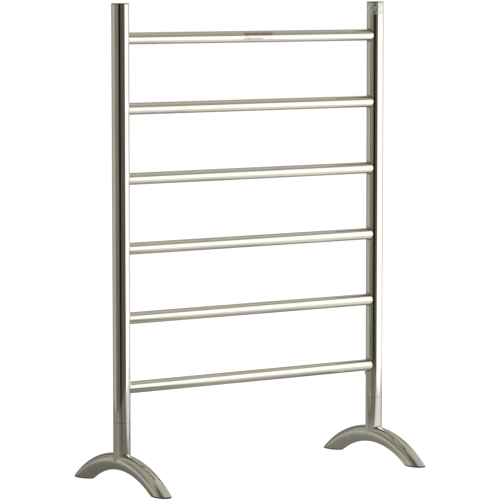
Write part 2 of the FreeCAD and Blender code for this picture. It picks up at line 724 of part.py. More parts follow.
doc.recompute()
for obj in doc.Objects:
    if "Invalid" in obj.State or "Error" in obj.State:
        raise RuntimeError("%s (%s) did not recompute: %s" % (obj.Name, obj.Label, obj.State))
for obj in NODES:
    if obj.Shape.isNull() or not obj.Shape.isValid():
        raise RuntimeError("%s has no valid shape" % obj.Label)

os.makedirs("parts", exist_ok=True)
for obj in NODES:
    obj.Shape.exportStep(os.path.join("parts", obj.Label + ".step"))
    print("%-24s %d solid(s) %12.2f mm3" % (obj.Label, len(obj.Shape.Solids), obj.Shape.Volume))
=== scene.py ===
import json
import math
import bpy
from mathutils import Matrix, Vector


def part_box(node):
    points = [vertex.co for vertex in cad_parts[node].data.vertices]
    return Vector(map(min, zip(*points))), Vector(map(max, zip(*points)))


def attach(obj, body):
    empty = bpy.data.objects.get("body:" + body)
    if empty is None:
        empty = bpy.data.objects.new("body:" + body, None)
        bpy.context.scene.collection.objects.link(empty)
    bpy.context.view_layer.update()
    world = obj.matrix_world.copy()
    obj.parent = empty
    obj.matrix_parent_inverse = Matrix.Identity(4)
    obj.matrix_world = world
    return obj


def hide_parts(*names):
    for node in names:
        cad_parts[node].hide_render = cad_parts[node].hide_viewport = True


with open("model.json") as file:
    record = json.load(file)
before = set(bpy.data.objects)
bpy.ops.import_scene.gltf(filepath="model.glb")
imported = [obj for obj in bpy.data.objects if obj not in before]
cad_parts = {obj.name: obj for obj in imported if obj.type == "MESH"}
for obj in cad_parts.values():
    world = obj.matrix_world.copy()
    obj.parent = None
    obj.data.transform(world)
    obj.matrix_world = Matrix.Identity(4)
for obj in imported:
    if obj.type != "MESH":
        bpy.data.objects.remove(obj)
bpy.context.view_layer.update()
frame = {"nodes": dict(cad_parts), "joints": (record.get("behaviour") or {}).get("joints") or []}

nodes = frame["nodes"]
print("frame loaded with", len(nodes), "nodes")

tiny = 0.000002
mm = 0.001
through = 0.05      # long enough to cut right through a small part


# small helpers for working on one piece at a time

def activate(obj):
    bpy.ops.object.select_all(action="DESELECT")
    obj.select_set(True)
    bpy.context.view_layer.objects.active = obj


def objectMode():
    bpy.ops.object.mode_set(mode="OBJECT")


def called(name):
    # names the object that was made last
    obj = bpy.context.object
    obj.name = name
    obj.data.name = name
    return obj


def setPlace(obj):
    # the place goes into the mesh, the object goes to the origin
    activate(obj)
    bpy.ops.object.transform_apply(location=True, rotation=True, scale=True)


def pick(obj, kind, rule):
    # edit mode with only the faces, edges or corners that the rule takes
    activate(obj)
    bpy.ops.object.mode_set(mode="EDIT")
    bpy.ops.mesh.select_mode(type=kind)
    bpy.ops.mesh.select_all(action="DESELECT")
    objectMode()
    mesh = obj.data
    if kind == "FACE":
        for face in mesh.polygons:
            face.select = bool(rule(face.center, face.normal))
    elif kind == "EDGE":
        for edge in mesh.edges:
            first, second = (mesh.vertices[index].co for index in edge.vertices)
            edge.select = bool(rule(first, second))
    else:
        for corner in mesh.vertices:
            corner.select = bool(rule(corner.co))
    bpy.ops.object.mode_set(mode="EDIT")


def pickAll(obj):
    activate(obj)
    bpy.ops.object.mode_set(mode="EDIT")
    bpy.ops.mesh.select_all(action="SELECT")


def edit(obj, kind, rule, operator, **values):
    # one operator on what the rule picks
    pick(obj, kind, rule)
    operator(**values)
    objectMode()


def bevelEdges(obj, offset, segments, rule):
    edit(obj, "EDGE", rule, bpy.ops.mesh.bevel, offset=offset, segments=segments, affect="EDGES")


def extrude(x=0, y=0, z=0):
    bpy.ops.mesh.extrude_region_move(TRANSFORM_OT_translate={"value": (x, y, z)})


def fixNormals(obj):
    pickAll(obj)
    bpy.ops.mesh.remove_doubles(threshold=tiny / 2)
    bpy.ops.mesh.normals_make_consistent(inside=False)
    objectMode()


def useModifier(obj, kind, **values):
    activate(obj)
    bpy.ops.object.modifier_add(type=kind)
    modifier = obj.modifiers[-1]
    for name, value in values.items():
        setattr(modifier, name, value)
    bpy.ops.object.modifier_apply(modifier=modifier.name)


def joinAll(pieces, name):
    activate(pieces[0])
    for piece in pieces:
        piece.select_set(True)
    if len(pieces) > 1:
        bpy.ops.object.join()
    return called(name)


def combine(obj, others, operation):
    # one boolean with all the others together
    other = joinAll(others, "other")
    useModifier(obj, "BOOLEAN", operation=operation, solver="EXACT", object=other)
    bpy.data.objects.remove(other)


def cutAway(obj, cutters):
    combine(obj, cutters, "DIFFERENCE")


def unite(obj, others):
    combine(obj, others, "UNION")


def addRod(name, radius, length, middle, axis="Z", sides=64, ends="NGON"):
    # a round rod, placed by its middle
    turn = {"X": (0, math.pi / 2, 0), "Y": (math.pi / 2, 0, 0), "Z": (0, 0, 0)}[axis]
    bpy.ops.mesh.primitive_cylinder_add(vertices=sides, radius=radius, depth=length,
                                        end_fill_type=ends, location=middle, rotation=turn)
    rod = called(name)
    setPlace(rod)
    return rod


def addBlock(name, size, middle):
    bpy.ops.mesh.primitive_cube_add(size=1, location=middle)
    block = called(name)
    block.scale = size
    setPlace(block)
    return block


def smoothByAngle(obj, degrees=30):
    activate(obj)
    bpy.ops.object.shade_smooth_by_angle(angle=math.radians(degrees))


def polish(obj, exact):
    # a mirror shows every flat, so the round faces get the normals of the true shape
    smoothByAngle(obj, 40)
    mesh = obj.data
    normals = [Vector((0, 0, 0))] * len(mesh.loops)
    for face in mesh.polygons:
        for loop in face.loop_indices:
            corner = mesh.loops[loop].vertex_index
            wanted = exact(corner, mesh.vertices[corner].co)
            if wanted is not None and wanted.dot(face.normal) > 0.75:
                normals[loop] = wanted
    mesh.normals_split_custom_set(normals)


def ballArc(centre, first, second, share):
    # a point on the hollow of a weld, rolled by a ball, and its normal
    start = (first - centre).normalized()
    end = (second - centre).normalized()
    way = start.slerp(end, share) if (start - end).length > tiny else start
    return centre + way * (first - centre).length, -way


def middleOf(node):
    low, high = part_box(node)
    return (low + high) / 2


def sizeOf(node):
    low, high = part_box(node)
    return high - low


# camera

shot = {
    "lens": 211.135,
    "sensor": 36,
    "distance": 5.457588,
    "azimuth": -35.0081,   # degrees from the front, towards the right
    "elevation": 5.3835,
    "lookHeight": 0.4165118,
    "lookAside": -0.0028609,
}

azimuth = math.radians(shot["azimuth"])
elevation = math.radians(shot["elevation"])
towardsCamera = Vector((math.sin(azimuth) * math.cos(elevation),
                        -math.cos(azimuth) * math.cos(elevation), math.sin(elevation)))
aside = Vector((math.cos(azimuth), math.sin(azimuth), 0))
bpy.ops.object.camera_add()
camera = called("studioCamera")
camera.location = (Vector((0, 0, shot["lookHeight"])) + aside * shot["lookAside"]
                   + towardsCamera * shot["distance"])
camera.rotation_euler = (-towardsCamera).to_track_quat("-Z", "Y").to_euler()
camera.data.lens = shot["lens"]
camera.data.sensor_width = shot["sensor"]
camera.data.clip_end = 60
bpy.context.scene.camera = camera
bpy.context.scene.view_settings.view_transform = "Standard"
print("camera set")


# node helpers

def feed(tree, sockets, values):
    # each socket gets a link or a plain value
    for key, value in values.items():
        if isinstance(value, bpy.types.NodeSocket):
            tree.links.new(value, sockets[key])
        else:
            sockets[key].default_value = value


def addNode(tree, kind, ins=None, **values):
    made = tree.nodes.new(kind)
    for name, value in values.items():
        setattr(made, name, value)
    feed(tree, made.inputs, ins or {})
    return made.outputs


def mathNode(tree, operation, *values, clamp=False):
    ins = dict(enumerate(values))
    return addNode(tree, "ShaderNodeMath", ins, operation=operation, use_clamp=clamp)[0]


def distanceOf(tree, first, second):
    squares = mathNode(tree, "ADD", mathNode(tree, "MULTIPLY", first, first),
                       mathNode(tree, "MULTIPLY", second, second))
    return mathNode(tree, "SQRT", squares)


def split(tree, vector):
    return addNode(tree, "ShaderNodeSeparateXYZ", {0: vector})


def spread(tree, value, low, high, toLow=0, toHigh=1):
    # a soft step from one value to another
    ins = {"Value": value, "From Min": low, "From Max": high, "To Min": toLow, "To Max": toHigh}
    return addNode(tree, "ShaderNodeMapRange", ins, interpolation_type="SMOOTHSTEP")[0]


def noise(tree, place, scale, detail=2, roughness=0.5, dimensions="3D"):
    ins = {"W" if dimensions == "1D" else "Vector": place, "Scale": scale, "Detail": detail,
           "Roughness": roughness}
    return addNode(tree, "ShaderNodeTexNoise", ins, noise_dimensions=dimensions)[0]


def mixColours(tree, share, first, second):
    return addNode(tree, "ShaderNodeMix", {0: share, 6: first, 7: second}, data_type="RGBA")[2]


def mixShaders(tree, share, first, second):
    return addNode(tree, "ShaderNodeMixShader", {0: share, 1: first, 2: second})[0]


def addBump(tree, skin, height, strength, distance):
    ins = {"Strength": strength, "Distance": distance, "Height": height}
    feed(tree, skin, {"Normal": addNode(tree, "ShaderNodeBump", ins)[0]})


def newGroup(name, ins):
    # the kind of each input follows from its value
    group = bpy.data.node_groups.new(name, "ShaderNodeTree")
    for label, value in ins.items():
        kind = {1: "Float", 3: "Vector", 4: "Color"}[len(value) if isinstance(value, tuple) else 1]
        socket = group.interface.new_socket(name=label, in_out="INPUT", socket_type="NodeSocket" + kind)
        socket.default_value = value
    return group, addNode(group, "NodeGroupInput")


def closeGroup(group, outs):
    for label, source in outs.items():
        kind = "Color" if source.type == "RGBA" else "Float"
        group.interface.new_socket(name=label, in_out="OUTPUT", socket_type="NodeSocket" + kind)
    addNode(group, "NodeGroupOutput", outs)
    return group


def newMaterial(name, coordinates="Object"):
    material = bpy.data.materials.new(name)
    material.use_nodes = True
    tree = material.node_tree
    place = addNode(tree, "ShaderNodeTexCoord")[coordinates]
    return material, tree, tree.nodes["Principled BSDF"].inputs, place


# studio: everything that the polished tubes mirror

def screen(level):
    # a display level from 0 to 255 as light
    value = level / 255
    return value / 12.92 if value <= 0.04045 else ((value + 0.055) / 1.055) ** 2.4


def makeCardGroup():
    # paints one soft-edged card over what is behind it
    group, where = newGroup("studioCard", {
        "Behind": (0, 0, 0, 1), "Card": (1, 1, 1, 1), "Azimuth": 0, "Elevation": 0, "Middle": 0,
        "Half width": 30, "Side softness": 5, "Height": 0, "Half height": 30, "Height softness": 5})

    def inside(offset, half, softness):
        # 1 up to the edge of the card, 0 beyond it
        return spread(group, mathNode(group, "ABSOLUTE", offset), mathNode(group, "SUBTRACT", half, softness),
                      mathNode(group, "ADD", half, softness), 1, 0)

    offset = mathNode(group, "SUBTRACT", where["Azimuth"], where["Middle"])
    side = inside(mathNode(group, "WRAP", offset, 180, -180), where["Half width"], where["Side softness"])
    rise = mathNode(group, "SUBTRACT", where["Elevation"], where["Height"])
    tall = inside(rise, where["Half height"], where["Height softness"])
    share = mathNode(group, "MULTIPLY", side, tall)
    return closeGroup(group, {"Light": mixColours(group, share, where["Behind"], where["Card"])})


studio = {
    "tint": (1.0, 0.997, 0.88),     # warm walls
    "whiteTint": (1.0, 1.0, 1.03),
    "whiteFrom": 190,               # brighter cards have the white tint
    "steelShare": 0.80,             # what the steel sends back
    "wall": 150,
    "diffuseGain": 1.7,
    # name: level, middle, half width, softness, height, half height, softness
    # angles in degrees, azimuths from the camera's side of the room, to the right
    "cards": {
        "overhead": (172, 110, 75, 20, 90, 38, 8),
        "frontHigh": (80, -8, 60, 10, 45, 27, 6),
        "backWallRight": (196, 140, 20, 12, 0, 40, 20),
        "backFlagRight": (70, 161, 5, 4, 12, 20, 8),
        "backBox": (262, 184, 13, 5, -14, 12, 4),
        "backFlagLeft": (52, 209, 7, 5, 12, 26, 8),
        "leftWall": (165, -93, 25, 9, 3, 13, 5),
        "leftHigh": (112, -98, 14, 7, 28, 8, 5),
        "leftGap": (58, -131, 2.5, 2, 13, 10, 5),
        "frontLeft": (124, -44, 28, 4, 0, 40, 20),
        "lowLeft": (98, -42, 18, 6, -9, 3.5, 2.5),
        "curtainLine": (74, -62, 3, 2.5, 2, 11, 4),
        "frontRight": (80, 30, 42, 8, 0, 20, 12),
        "cameraGap": (92, -26, 6, 5, 2, 14, 6),
        "cameraShade": (74, -7, 12, 5, 0, 30, 5),
        "camera": (16, -7, 12, 5, 8, 18, 4),
    },
    # the white paper round the rack, with painted light and shade on it as the steel mirrors it, in metres
    # out instead of degrees up
    "paperWall": 146,
    "paperReach": (1.22, 0.03),
    "paper": {
        "paperFront": (106, 0, 42, 12, 1.0, 0.75, 0.2),
        "paperShadeStreak": (62, -15, 4, 5, 1.0, 0.35, 0.1),
        "paperLeft": (126, -92, 40, 14, 1.0, 0.95, 0.1),
        "paperRight": (214, 84, 34, 14, 1.0, 0.75, 0.2),
    },
    "paperColour": (0.30, 0.30, 0.30, 1),
    "paperGlow": 0.86,              # white to the eye
    # the paper is darker close under the feet: share of light left, and how far out
    "footShade": (0.42, 0.26),
    "feet": (0.2875, 0.13),         # where they stand, across and half their length
}

# the big soft light, standing on the floor at the right
softbox = {"left": (0.26, -1.14), "right": (1.9, 0.1), "top": 1.22, "level": 259,
           "sideSoftness": 0.035, "topSoftness": 0.12}

# name: place, size, power of the lights that only the matt pieces feel
softLights = {
    "keyLight": ((2.4, -2.2, 2.6), 2.0, 60),
    "backLight": ((-1.8, 2.8, 2.0), 2.0, 40),
}


def lightColour(level, white=False):
    shade = studio["whiteTint"] if white else studio["tint"]
    brightness = screen(level) / studio["steelShare"]
    return tuple(brightness * part for part in shade) + (1,)


def paintCards(tree, way, second, wall, cards):
    # the wall's colour with the cards over it, by azimuth and a second measure

    def along(direction):
        return addNode(tree, "ShaderNodeVectorMath", {0: way, 1: direction}, operation="DOT_PRODUCT")["Value"]

    facing = Vector((math.sin(azimuth), -math.cos(azimuth), 0))
    around = mathNode(tree, "DEGREES", mathNode(tree, "ARCTAN2", along(aside), along(facing)))
    colour = lightColour(wall)
    labels = ("Middle", "Half width", "Side softness", "Height", "Half height", "Height softness")
    for name, (level, *values) in cards.items():
        ins = {"Behind": colour, "Card": lightColour(level, level > studio["whiteFrom"]),
               "Azimuth": around, "Elevation": second}
        ins.update(zip(labels, values))
        colour = addNode(tree, "ShaderNodeGroup", ins, node_tree=cardGroup, label=name)[0]
    return colour


def makeWorld():
    world = bpy.data.worlds.new("studioWorld")
    bpy.context.scene.world = world
    world.use_nodes = True
    tree = world.node_tree
    tree.nodes.clear()
    way = addNode(tree, "ShaderNodeTexCoord")["Generated"]
    rise = mathNode(tree, "DEGREES", mathNode(tree, "ARCSINE", split(tree, way)["Z"]))
    colour = paintCards(tree, way, rise, studio["wall"], studio["cards"])

    def light(shade, strength=1):
        return addNode(tree, "ShaderNodeBackground", {"Color": shade, "Strength": strength})[0]

    path = addNode(tree, "ShaderNodeLightPath")
    felt = mixShaders(tree, path["Is Diffuse Ray"], light(colour), light(colour, studio["diffuseGain"]))
    seen = mixShaders(tree, path["Is Camera Ray"], felt, light((1, 1, 1, 1)))
    addNode(tree, "ShaderNodeOutputWorld", {"Surface": seen})


def makeFloor():
    # white to the eye; in the steel it is paper lit from the right, and it ends not far out
    bpy.ops.mesh.primitive_plane_add(size=24)
    floor = called("studioFloor")
    material, tree, skin, place = newMaterial("studioFloorPaper")
    feed(tree, skin, {"Base Color": studio["paperColour"], "Roughness": 0.9,
                      "Emission Color": (1, 1, 1, 1), "Emission Strength": studio["paperGlow"]})
    distance = addNode(tree, "ShaderNodeVectorMath", {0: place}, operation="LENGTH")["Value"]
    apart = split(tree, place)
    across, along = (mathNode(tree, "SUBTRACT", mathNode(tree, "ABSOLUTE", apart[axis]), foot)
                     for axis, foot in zip("XY", studio["feet"]))
    fromFoot = distanceOf(tree, across, mathNode(tree, "MAXIMUM", along, 0))
    share, out = studio["footShade"]
    # what the steel mirrors: painted light and shade on the paper, with a painted shadow round the feet
    lit = addNode(tree, "ShaderNodeEmission", {
        "Color": paintCards(tree, place, distance, studio["paperWall"], studio["paper"]),
        "Strength": spread(tree, fromFoot, -0.5 * out, out, share)})[0]
    reach, softness = studio["paperReach"]
    mirrored = mixShaders(tree, spread(tree, distance, reach - softness, reach + softness), lit,
                          addNode(tree, "ShaderNodeBsdfTransparent")[0])
    both = mixShaders(tree, addNode(tree, "ShaderNodeLightPath")["Is Glossy Ray"],
                      tree.nodes["Principled BSDF"].outputs[0], mirrored)
    feed(tree, tree.nodes["Material Output"].inputs, {"Surface": both})
    floor.data.materials.append(material)


def makeSoftbox():
    start, end = (Vector(softbox[side] + (0,)) for side in ("left", "right"))
    run = end - start
    middle = (start + end) / 2
    bpy.ops.mesh.primitive_plane_add(size=1, location=(middle.x, middle.y, softbox["top"] / 2),
                                     rotation=(math.pi / 2, 0, math.atan2(run.y, run.x)))
    panel = called("softbox")
    panel.scale = (run.length, softbox["top"], 1)
    panel.visible_camera = False
    panel.visible_shadow = False
    material, tree, _, place = newMaterial("softboxCloth", "UV")
    apart = split(tree, place)
    far, down = (mathNode(tree, "SUBTRACT", 1, apart[axis]) for axis in "XY")
    side = softbox["sideSoftness"]
    inside = mathNode(tree, "MULTIPLY", spread(tree, apart["X"], 0, side), spread(tree, far, 0, side))
    inside = mathNode(tree, "MULTIPLY", inside, spread(tree, down, 0, softbox["topSoftness"]))
    lit = addNode(tree, "ShaderNodeEmission", {"Color": lightColour(softbox["level"], True)})[0]
    cloth = mixShaders(tree, inside, addNode(tree, "ShaderNodeBsdfTransparent")[0], lit)
    feed(tree, tree.nodes["Material Output"].inputs, {"Surface": cloth})
    panel.data.materials.append(material)


def addSoftLight(name, place, size, power):
    bpy.ops.object.light_add(type="AREA", location=place)
    light = called(name)
    light.data.shape = "SQUARE"
    light.data.size = size
    light.data.energy = power
    light.rotation_euler = (Vector((0, 0, 0.4)) - light.location).to_track_quat("-Z", "Y").to_euler()
    light.visible_glossy = False
    light.visible_camera = False


cardGroup = makeCardGroup()
makeWorld()
makeFloor()
makeSoftbox()
for name, values in softLights.items():
    addSoftLight(name, *values)
print("studio set")


# steel tubes: posts

postNodes = ("left_post", "right_post")
postRadius = sizeOf("left_post").x / 2
postX = abs(middleOf("left_post").x)
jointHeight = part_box("left_post")[0].z
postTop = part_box("left_post")[1].z
barNodes = ["towel_bar_%d" % number for number in range(1, 7)]
barHeights = [middleOf(node).z for node in barNodes]
barPitch = (barHeights[0] - barHeights[-1]) / (len(barHeights) - 1)
barRadius = sizeOf("towel_bar_1").z / 2

postShape = {"sides": 160, "wall": 1.5 * mm, "rim": 0.2 * mm, "jointGap": 0.32 * mm, "barHole": 9.8 * mm,
             "screwHole": 3.1 * mm, "glandHole": 6.0 * mm, "earthHole": 2.15 * mm,
             "switchHole": (9.0 * mm, 13.6 * mm)}


def away(co):
    # how far a point is from the axis of its post
    return math.hypot(abs(co.x) - postX, co.y)


def outward(co):
    return Vector((co.x - math.copysign(postX, co.x), co.y, 0)) / away(co)


def rimNormal(co, rim, over):
    # on the rounding between the side and the end, over it by so much
    return (outward(co) * (away(co) - postRadius + rim) + Vector((0, 0, over))).normalized()


def postCutters(sign):
    x = sign * postX
    cutters = [addRod("barHole", postShape["barHole"], postRadius, (x - sign * postRadius, 0, height), "X")
               for height in barHeights]
    holes = [("screwHole", height, 48) for height in screwHeights()]
    if sign > 0:
        holes += [("glandHole", middleOf("cord_gland").z, 48), ("earthHole", middleOf("earth_screw").z, 32)]
    for name, height, sides in holes:
        cutters.append(addRod(name, postShape[name], postRadius, (x, postRadius, height), "Y", sides))
    if sign > 0:
        width, tall = postShape["switchHole"]
        cutters.append(addBlock("switchHole", (width, postRadius, tall),
                                (x, postRadius, middleOf("switch_saddle").z)))
    return cutters


def makePost(node, sign):
    x = sign * postX
    rim = postShape["rim"]
    foot = jointHeight + postShape["jointGap"]
    post = addRod(node.replace("_p", "P"), postRadius, postTop - foot,
                  (x, 0, (postTop + foot) / 2), "Z", postShape["sides"])
    pick(post, "FACE", lambda centre, normal: abs(normal.z) > 0.9)
    bpy.ops.mesh.inset(thickness=postShape["wall"], use_individual=True)
    bpy.ops.mesh.bridge_edge_loops()
    objectMode()
    bevelEdges(post, rim, 3, lambda a, b: min(away(a), away(b)) > postRadius - tiny and abs(a.z - b.z) < tiny)
    cutAway(post, postCutters(sign))

    def exact(index, co):
        if away(co) < postRadius - rim - tiny:
            return None
        for end, way in ((foot, -1), (postTop, 1)):
            over = (co.z - end) * way + rim
            if over > 0:
                return rimNormal(co, rim, over * way)
        return outward(co) if away(co) > postRadius - tiny else None

    polish(post, exact)
    return post


# steel tubes: bars, each end coped to its post with a weld rolled smooth

barShape = {"sides": 128, "wall": 1.2 * mm, "weld": 1.8 * mm, "weldSteps": 6, "ringStep": 0.5 * mm,
            "straight": 0.26}      # half of it, out to where the rings of the welds start


def makeBar(node):
    radius = sizeOf(node).z / 2
    height = middleOf(node).z
    half = barShape["straight"]
    step = barShape["ringStep"]
    steps = barShape["weldSteps"]
    ball = barShape["weld"]
    bore = radius - barShape["wall"]
    bar = addRod(node.replace("towel_bar_", "towelBar"), radius, 2 * half, (0, 0, height), "X",
                 barShape["sides"], "NOTHING")
    for side in (-1, 1):
        pick(bar, "EDGE", lambda a, b: min(a.x * side, b.x * side) > half - tiny)
        for number in range(steps + 1):
            extrude(x=side * step)
        share = bore / radius
        bpy.ops.transform.resize(value=(1, share, share), center_override=(0, 0, height))
        objectMode()
    edit(bar, "EDGE", lambda a, b: max(math.hypot(a.y, a.z - height),
                                       math.hypot(b.y, b.z - height)) < bore + 10 * tiny,
         bpy.ops.mesh.bridge_edge_loops)
    normals = {}
    for corner in bar.data.vertices:
        place = corner.co
        side = 1 if place.x > 0 else -1
        ring = round((abs(place.x) - half) / step)
        turn = math.atan2(place.z - height, place.y)
        if ring > steps:
            y = bore * math.cos(turn)
            corner.co = (side * (postX - math.sqrt(postRadius ** 2 - y * y)), y,
                         height + bore * math.sin(turn))
            continue
        y = (radius + ball) * math.cos(turn)
        z = height + (radius + ball) * math.sin(turn)
        reach = math.sqrt((postRadius + ball) ** 2 - y * y)
        centre = Vector((side * (postX - reach), y, z))
        onBar = Vector((centre.x, radius * math.cos(turn), height + radius * math.sin(turn)))
        share = postRadius / (postRadius + ball)
        onPost = Vector((side * (postX - reach * share), y * share, z))
        corner.co, normals[corner.index] = ballArc(centre, onBar, onPost, ring / steps)
    polish(bar, lambda index, co: normals.get(index))
    return bar


# top caps: turned discs with a hollow plug

capShape = {"sides": 160, "edge": 1.3 * mm, "seam": 0.25 * mm, "crown": 0.12 * mm, "rings": 3,
            "ring": 4.5 * mm, "plug": 14.45 * mm, "plugWall": 2 * mm, "plugLength": 10 * mm}


def makeCap(node, sign):
    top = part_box(node)[1].z
    edge, seam = capShape["edge"], capShape["seam"]
    cap = addRod(node.replace("_top_cap", "TopCap"), postRadius, top - postTop,
                 (sign * postX, 0, (top + postTop) / 2), "Z", capShape["sides"])
    for height, offset in ((top, edge), (postTop, seam)):
        bevelEdges(cap, offset, 8, lambda a, b: abs(a.z - height) < tiny and abs(b.z - height) < tiny)
    pick(cap, "FACE", lambda centre, normal: normal.z > 0.99 and away(centre) < mm)
    for number in range(capShape["rings"]):
        bpy.ops.mesh.inset(thickness=capShape["ring"])
    objectMode()
    for corner in cap.data.vertices:
        if corner.co.z > top - tiny:
            corner.co.z = top - capShape["crown"] * (away(corner.co) / postRadius) ** 2
    pick(cap, "FACE", lambda centre, normal: normal.z < -0.99 and away(centre) < mm)
    bpy.ops.mesh.inset(thickness=postRadius - seam - capShape["plug"])
    extrude(z=-capShape["plugLength"])
    bpy.ops.mesh.inset(thickness=capShape["plugWall"])
    extrude(z=capShape["plugLength"])
    objectMode()

    def exact(index, co):
        if co.z < postTop + seam - tiny:
            return None
        if away(co) < tiny:
            return Vector((0, 0, 1))
        if away(co) < postRadius - edge + tiny:
            slope = 2 * capShape["crown"] * away(co) / postRadius ** 2
            return (outward(co) * slope + Vector((0, 0, 1))).normalized()
        return rimNormal(co, edge, max(co.z - top + edge, 0))

    polish(cap, exact)
    return cap


# feet: bent arch and coped stem

archShape = {"sides": 128, "steps": 96, "bend": 210 * mm, "wall": 1.5 * mm, "spread": 46,
             "rim": 0.3 * mm}
archRadius = sizeOf("left_foot_arch").x / 2
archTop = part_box("left_foot_arch")[1].z
archCentre = archTop - archRadius - archShape["bend"]
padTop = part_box("left_foot_arch")[0].z


def cutLevel(obj, x, height, under):
    # takes away what is under a height, or what is over it
    pickAll(obj)
    bpy.ops.mesh.bisect(plane_co=(x, 0, height), plane_no=(0, 0, 1), clear_inner=under,
                        clear_outer=not under, threshold=tiny / 20)
    objectMode()


def spunTube(name, x, radius, low):
    # a ring spun round the bend, then cut level at its feet
    half = math.radians(archShape["spread"])
    bend = archShape["bend"]
    start = (x, -bend * math.sin(half), archCentre + bend * math.cos(half))
    bpy.ops.mesh.primitive_circle_add(vertices=archShape["sides"], radius=radius, location=start,
                                      rotation=(half - math.pi / 2, 0, 0))
    tube = called(name)
    setPlace(tube)
    pickAll(tube)
    bpy.ops.mesh.spin(steps=archShape["steps"], angle=2 * half, center=(x, 0, archCentre), axis=(1, 0, 0))
    objectMode()
    cutLevel(tube, x, low, True)
    return tube


def fromBend(co, x):
    # from the bent centre line out to a point
    flat = Vector((0, co.y, co.z - archCentre))
    return co - Vector((x, 0, archCentre)) - flat.normalized() * archShape["bend"]


def makeArch(node, sign):
    x = sign * postX
    arch = spunTube(node.replace("_foot_arch", "FootArch"), x, archRadius, padTop)
    bore = spunTube("archBore", x, archRadius - archShape["wall"], 0)
    for tube, height in ((arch, padTop), (bore, 0)):
        for way in (-1, 1):
            edit(tube, "EDGE", lambda a, b: max(a.z, b.z) < height + tiny and a.y * way > 0,
                 bpy.ops.mesh.edge_face_add)
        fixNormals(tube)
    cutAway(arch, [bore])
    outer = archRadius - 0.1 * mm
    bevelEdges(arch, archShape["rim"], 2, lambda a, b: max(a.z, b.z) < padTop + tiny and
               min(fromBend(a, x).length, fromBend(b, x).length) > outer)

    def exact(index, co):
        out = fromBend(co, x)
        return out.normalized() if abs(out.length - archRadius) < 5 * tiny else None

    polish(arch, exact)
    return arch


stemShape = {"sides": 160, "wall": 1.5 * mm, "rim": 0.2 * mm, "jointGap": 0.32 * mm,
             "weld": 1.2 * mm, "weldSteps": 6, "ringStep": 0.5 * mm,
             "foot": 0.075}     # the height where the rings of the weld start


def makeStem(node, sign):
    x = sign * postX
    rim = stemShape["rim"]
    step = stemShape["ringStep"]
    steps = stemShape["weldSteps"]
    ball = stemShape["weld"]
    bend = archShape["bend"]
    foot = stemShape["foot"]
    top = jointHeight - stemShape["jointGap"]
    stem = addRod(node.replace("_foot_stem", "FootStem"), postRadius, top - foot,
                  (x, 0, (top + foot) / 2), "Z", stemShape["sides"], "NOTHING")
    # half a side of turn, so that no corner stands where the weld runs out
    half = math.pi / stemShape["sides"]
    for corner in stem.data.vertices:
        turn = math.atan2(corner.co.y, corner.co.x - x) + half
        corner.co = (x + postRadius * math.cos(turn), postRadius * math.sin(turn), corner.co.z)
    share = (postRadius - stemShape["wall"]) / postRadius
    inner = postRadius * share
    pick(stem, "EDGE", lambda a, b: min(a.z, b.z) > top - tiny)
    extrude()
    bpy.ops.transform.resize(value=(share, share, 1), center_override=(x, 0, top))
    objectMode()
    bevelEdges(stem, rim, 3, lambda a, b: min(a.z, b.z) > top - tiny and
               min(away(a), away(b)) > postRadius - tiny)
    pick(stem, "EDGE", lambda a, b: max(a.z, b.z) < foot + tiny)
    for number in range(steps + 1):
        extrude(z=-step)
    bpy.ops.transform.resize(value=(share, share, 1), center_override=(x, 0, foot))
    objectMode()
    edit(stem, "EDGE", lambda a, b: max(away(a), away(b)) < inner + 10 * tiny, bpy.ops.mesh.bridge_edge_loops)
    normals = {}
    for corner in stem.data.vertices:
        place = corner.co
        ring = round((foot - place.z) / step)
        if place.z > foot + tiny:
            if away(place) > postRadius - rim - tiny:
                normals[corner.index] = rimNormal(place, rim, max(place.z - top + rim, 0))
            continue
        turn = math.atan2(place.y, place.x - x)
        if ring > steps:
            across = inner * math.cos(turn)
            y = inner * math.sin(turn)
            ridge = bend + math.sqrt(archRadius ** 2 - across ** 2)
            corner.co = (x + across, y, archCentre + math.sqrt(ridge ** 2 - y * y))
            continue
        across = (postRadius + ball) * math.cos(turn)
        y = (postRadius + ball) * math.sin(turn)
        ridge = bend + abs(y)
        centre = Vector((x + across, y, archCentre + math.sqrt(ridge ** 2 - y * y)))
        onStem = Vector((x + postRadius * math.cos(turn), postRadius * math.sin(turn), centre.z))
        lean = math.asin(y / ridge)
        low = bend + postRadius * abs(math.sin(turn))
        onArch = Vector((onStem.x, low * math.sin(lean), archCentre + low * math.cos(lean)))
        corner.co, normals[corner.index] = ballArc(centre, onStem, onArch, ring / steps)
    polish(stem, lambda index, co: normals.get(index))
    return stem


padShape = {"inset": 0.4 * mm, "seat": 4.0 * mm, "seatDepth": 1.5 * mm, "hole": 2.1 * mm,
            "edge": 0.3 * mm}


def makePads(sign, side):
    # each pad goes on from the line of the arch down to the floor
    x = sign * postX
    made = []
    for end, way in (("front", -1), ("back", 1)):
        pad = spunTube(side + end.capitalize() + "Pad", x, archRadius - padShape["inset"], 0)
        cutLevel(pad, x, padTop, False)
        edit(pad, "VERT", lambda co: co.y * way < 0, bpy.ops.mesh.delete, type="VERT")
        for height in (0, padTop):
            edit(pad, "EDGE", lambda a, b: abs(a.z - height) < tiny and abs(b.z - height) < tiny,
                 bpy.ops.mesh.edge_face_add)
        fixNormals(pad)
        bevelEdges(pad, padShape["edge"], 2, lambda a, b: abs(a.z - b.z) < tiny and
                   (max(a.z, b.z) < tiny or min(a.z, b.z) > padTop - tiny))
        y = middleOf("%s_%s_end_plate" % (side, end)).y
        cutAway(pad, [addRod("padSeat", padShape["seat"], 2 * padShape["seatDepth"], (x, y, 0), "Z", 48)])
        cutAway(pad, [addRod("padHole", padShape["hole"], 4 * padTop, (x, y, 0), "Z", 32)])
        smoothByAngle(pad, 35)
        made.append((pad, "%s_%s_pad" % (side, end)))
    return made


# small parts: set screws, gland, earth screw, switch, labels

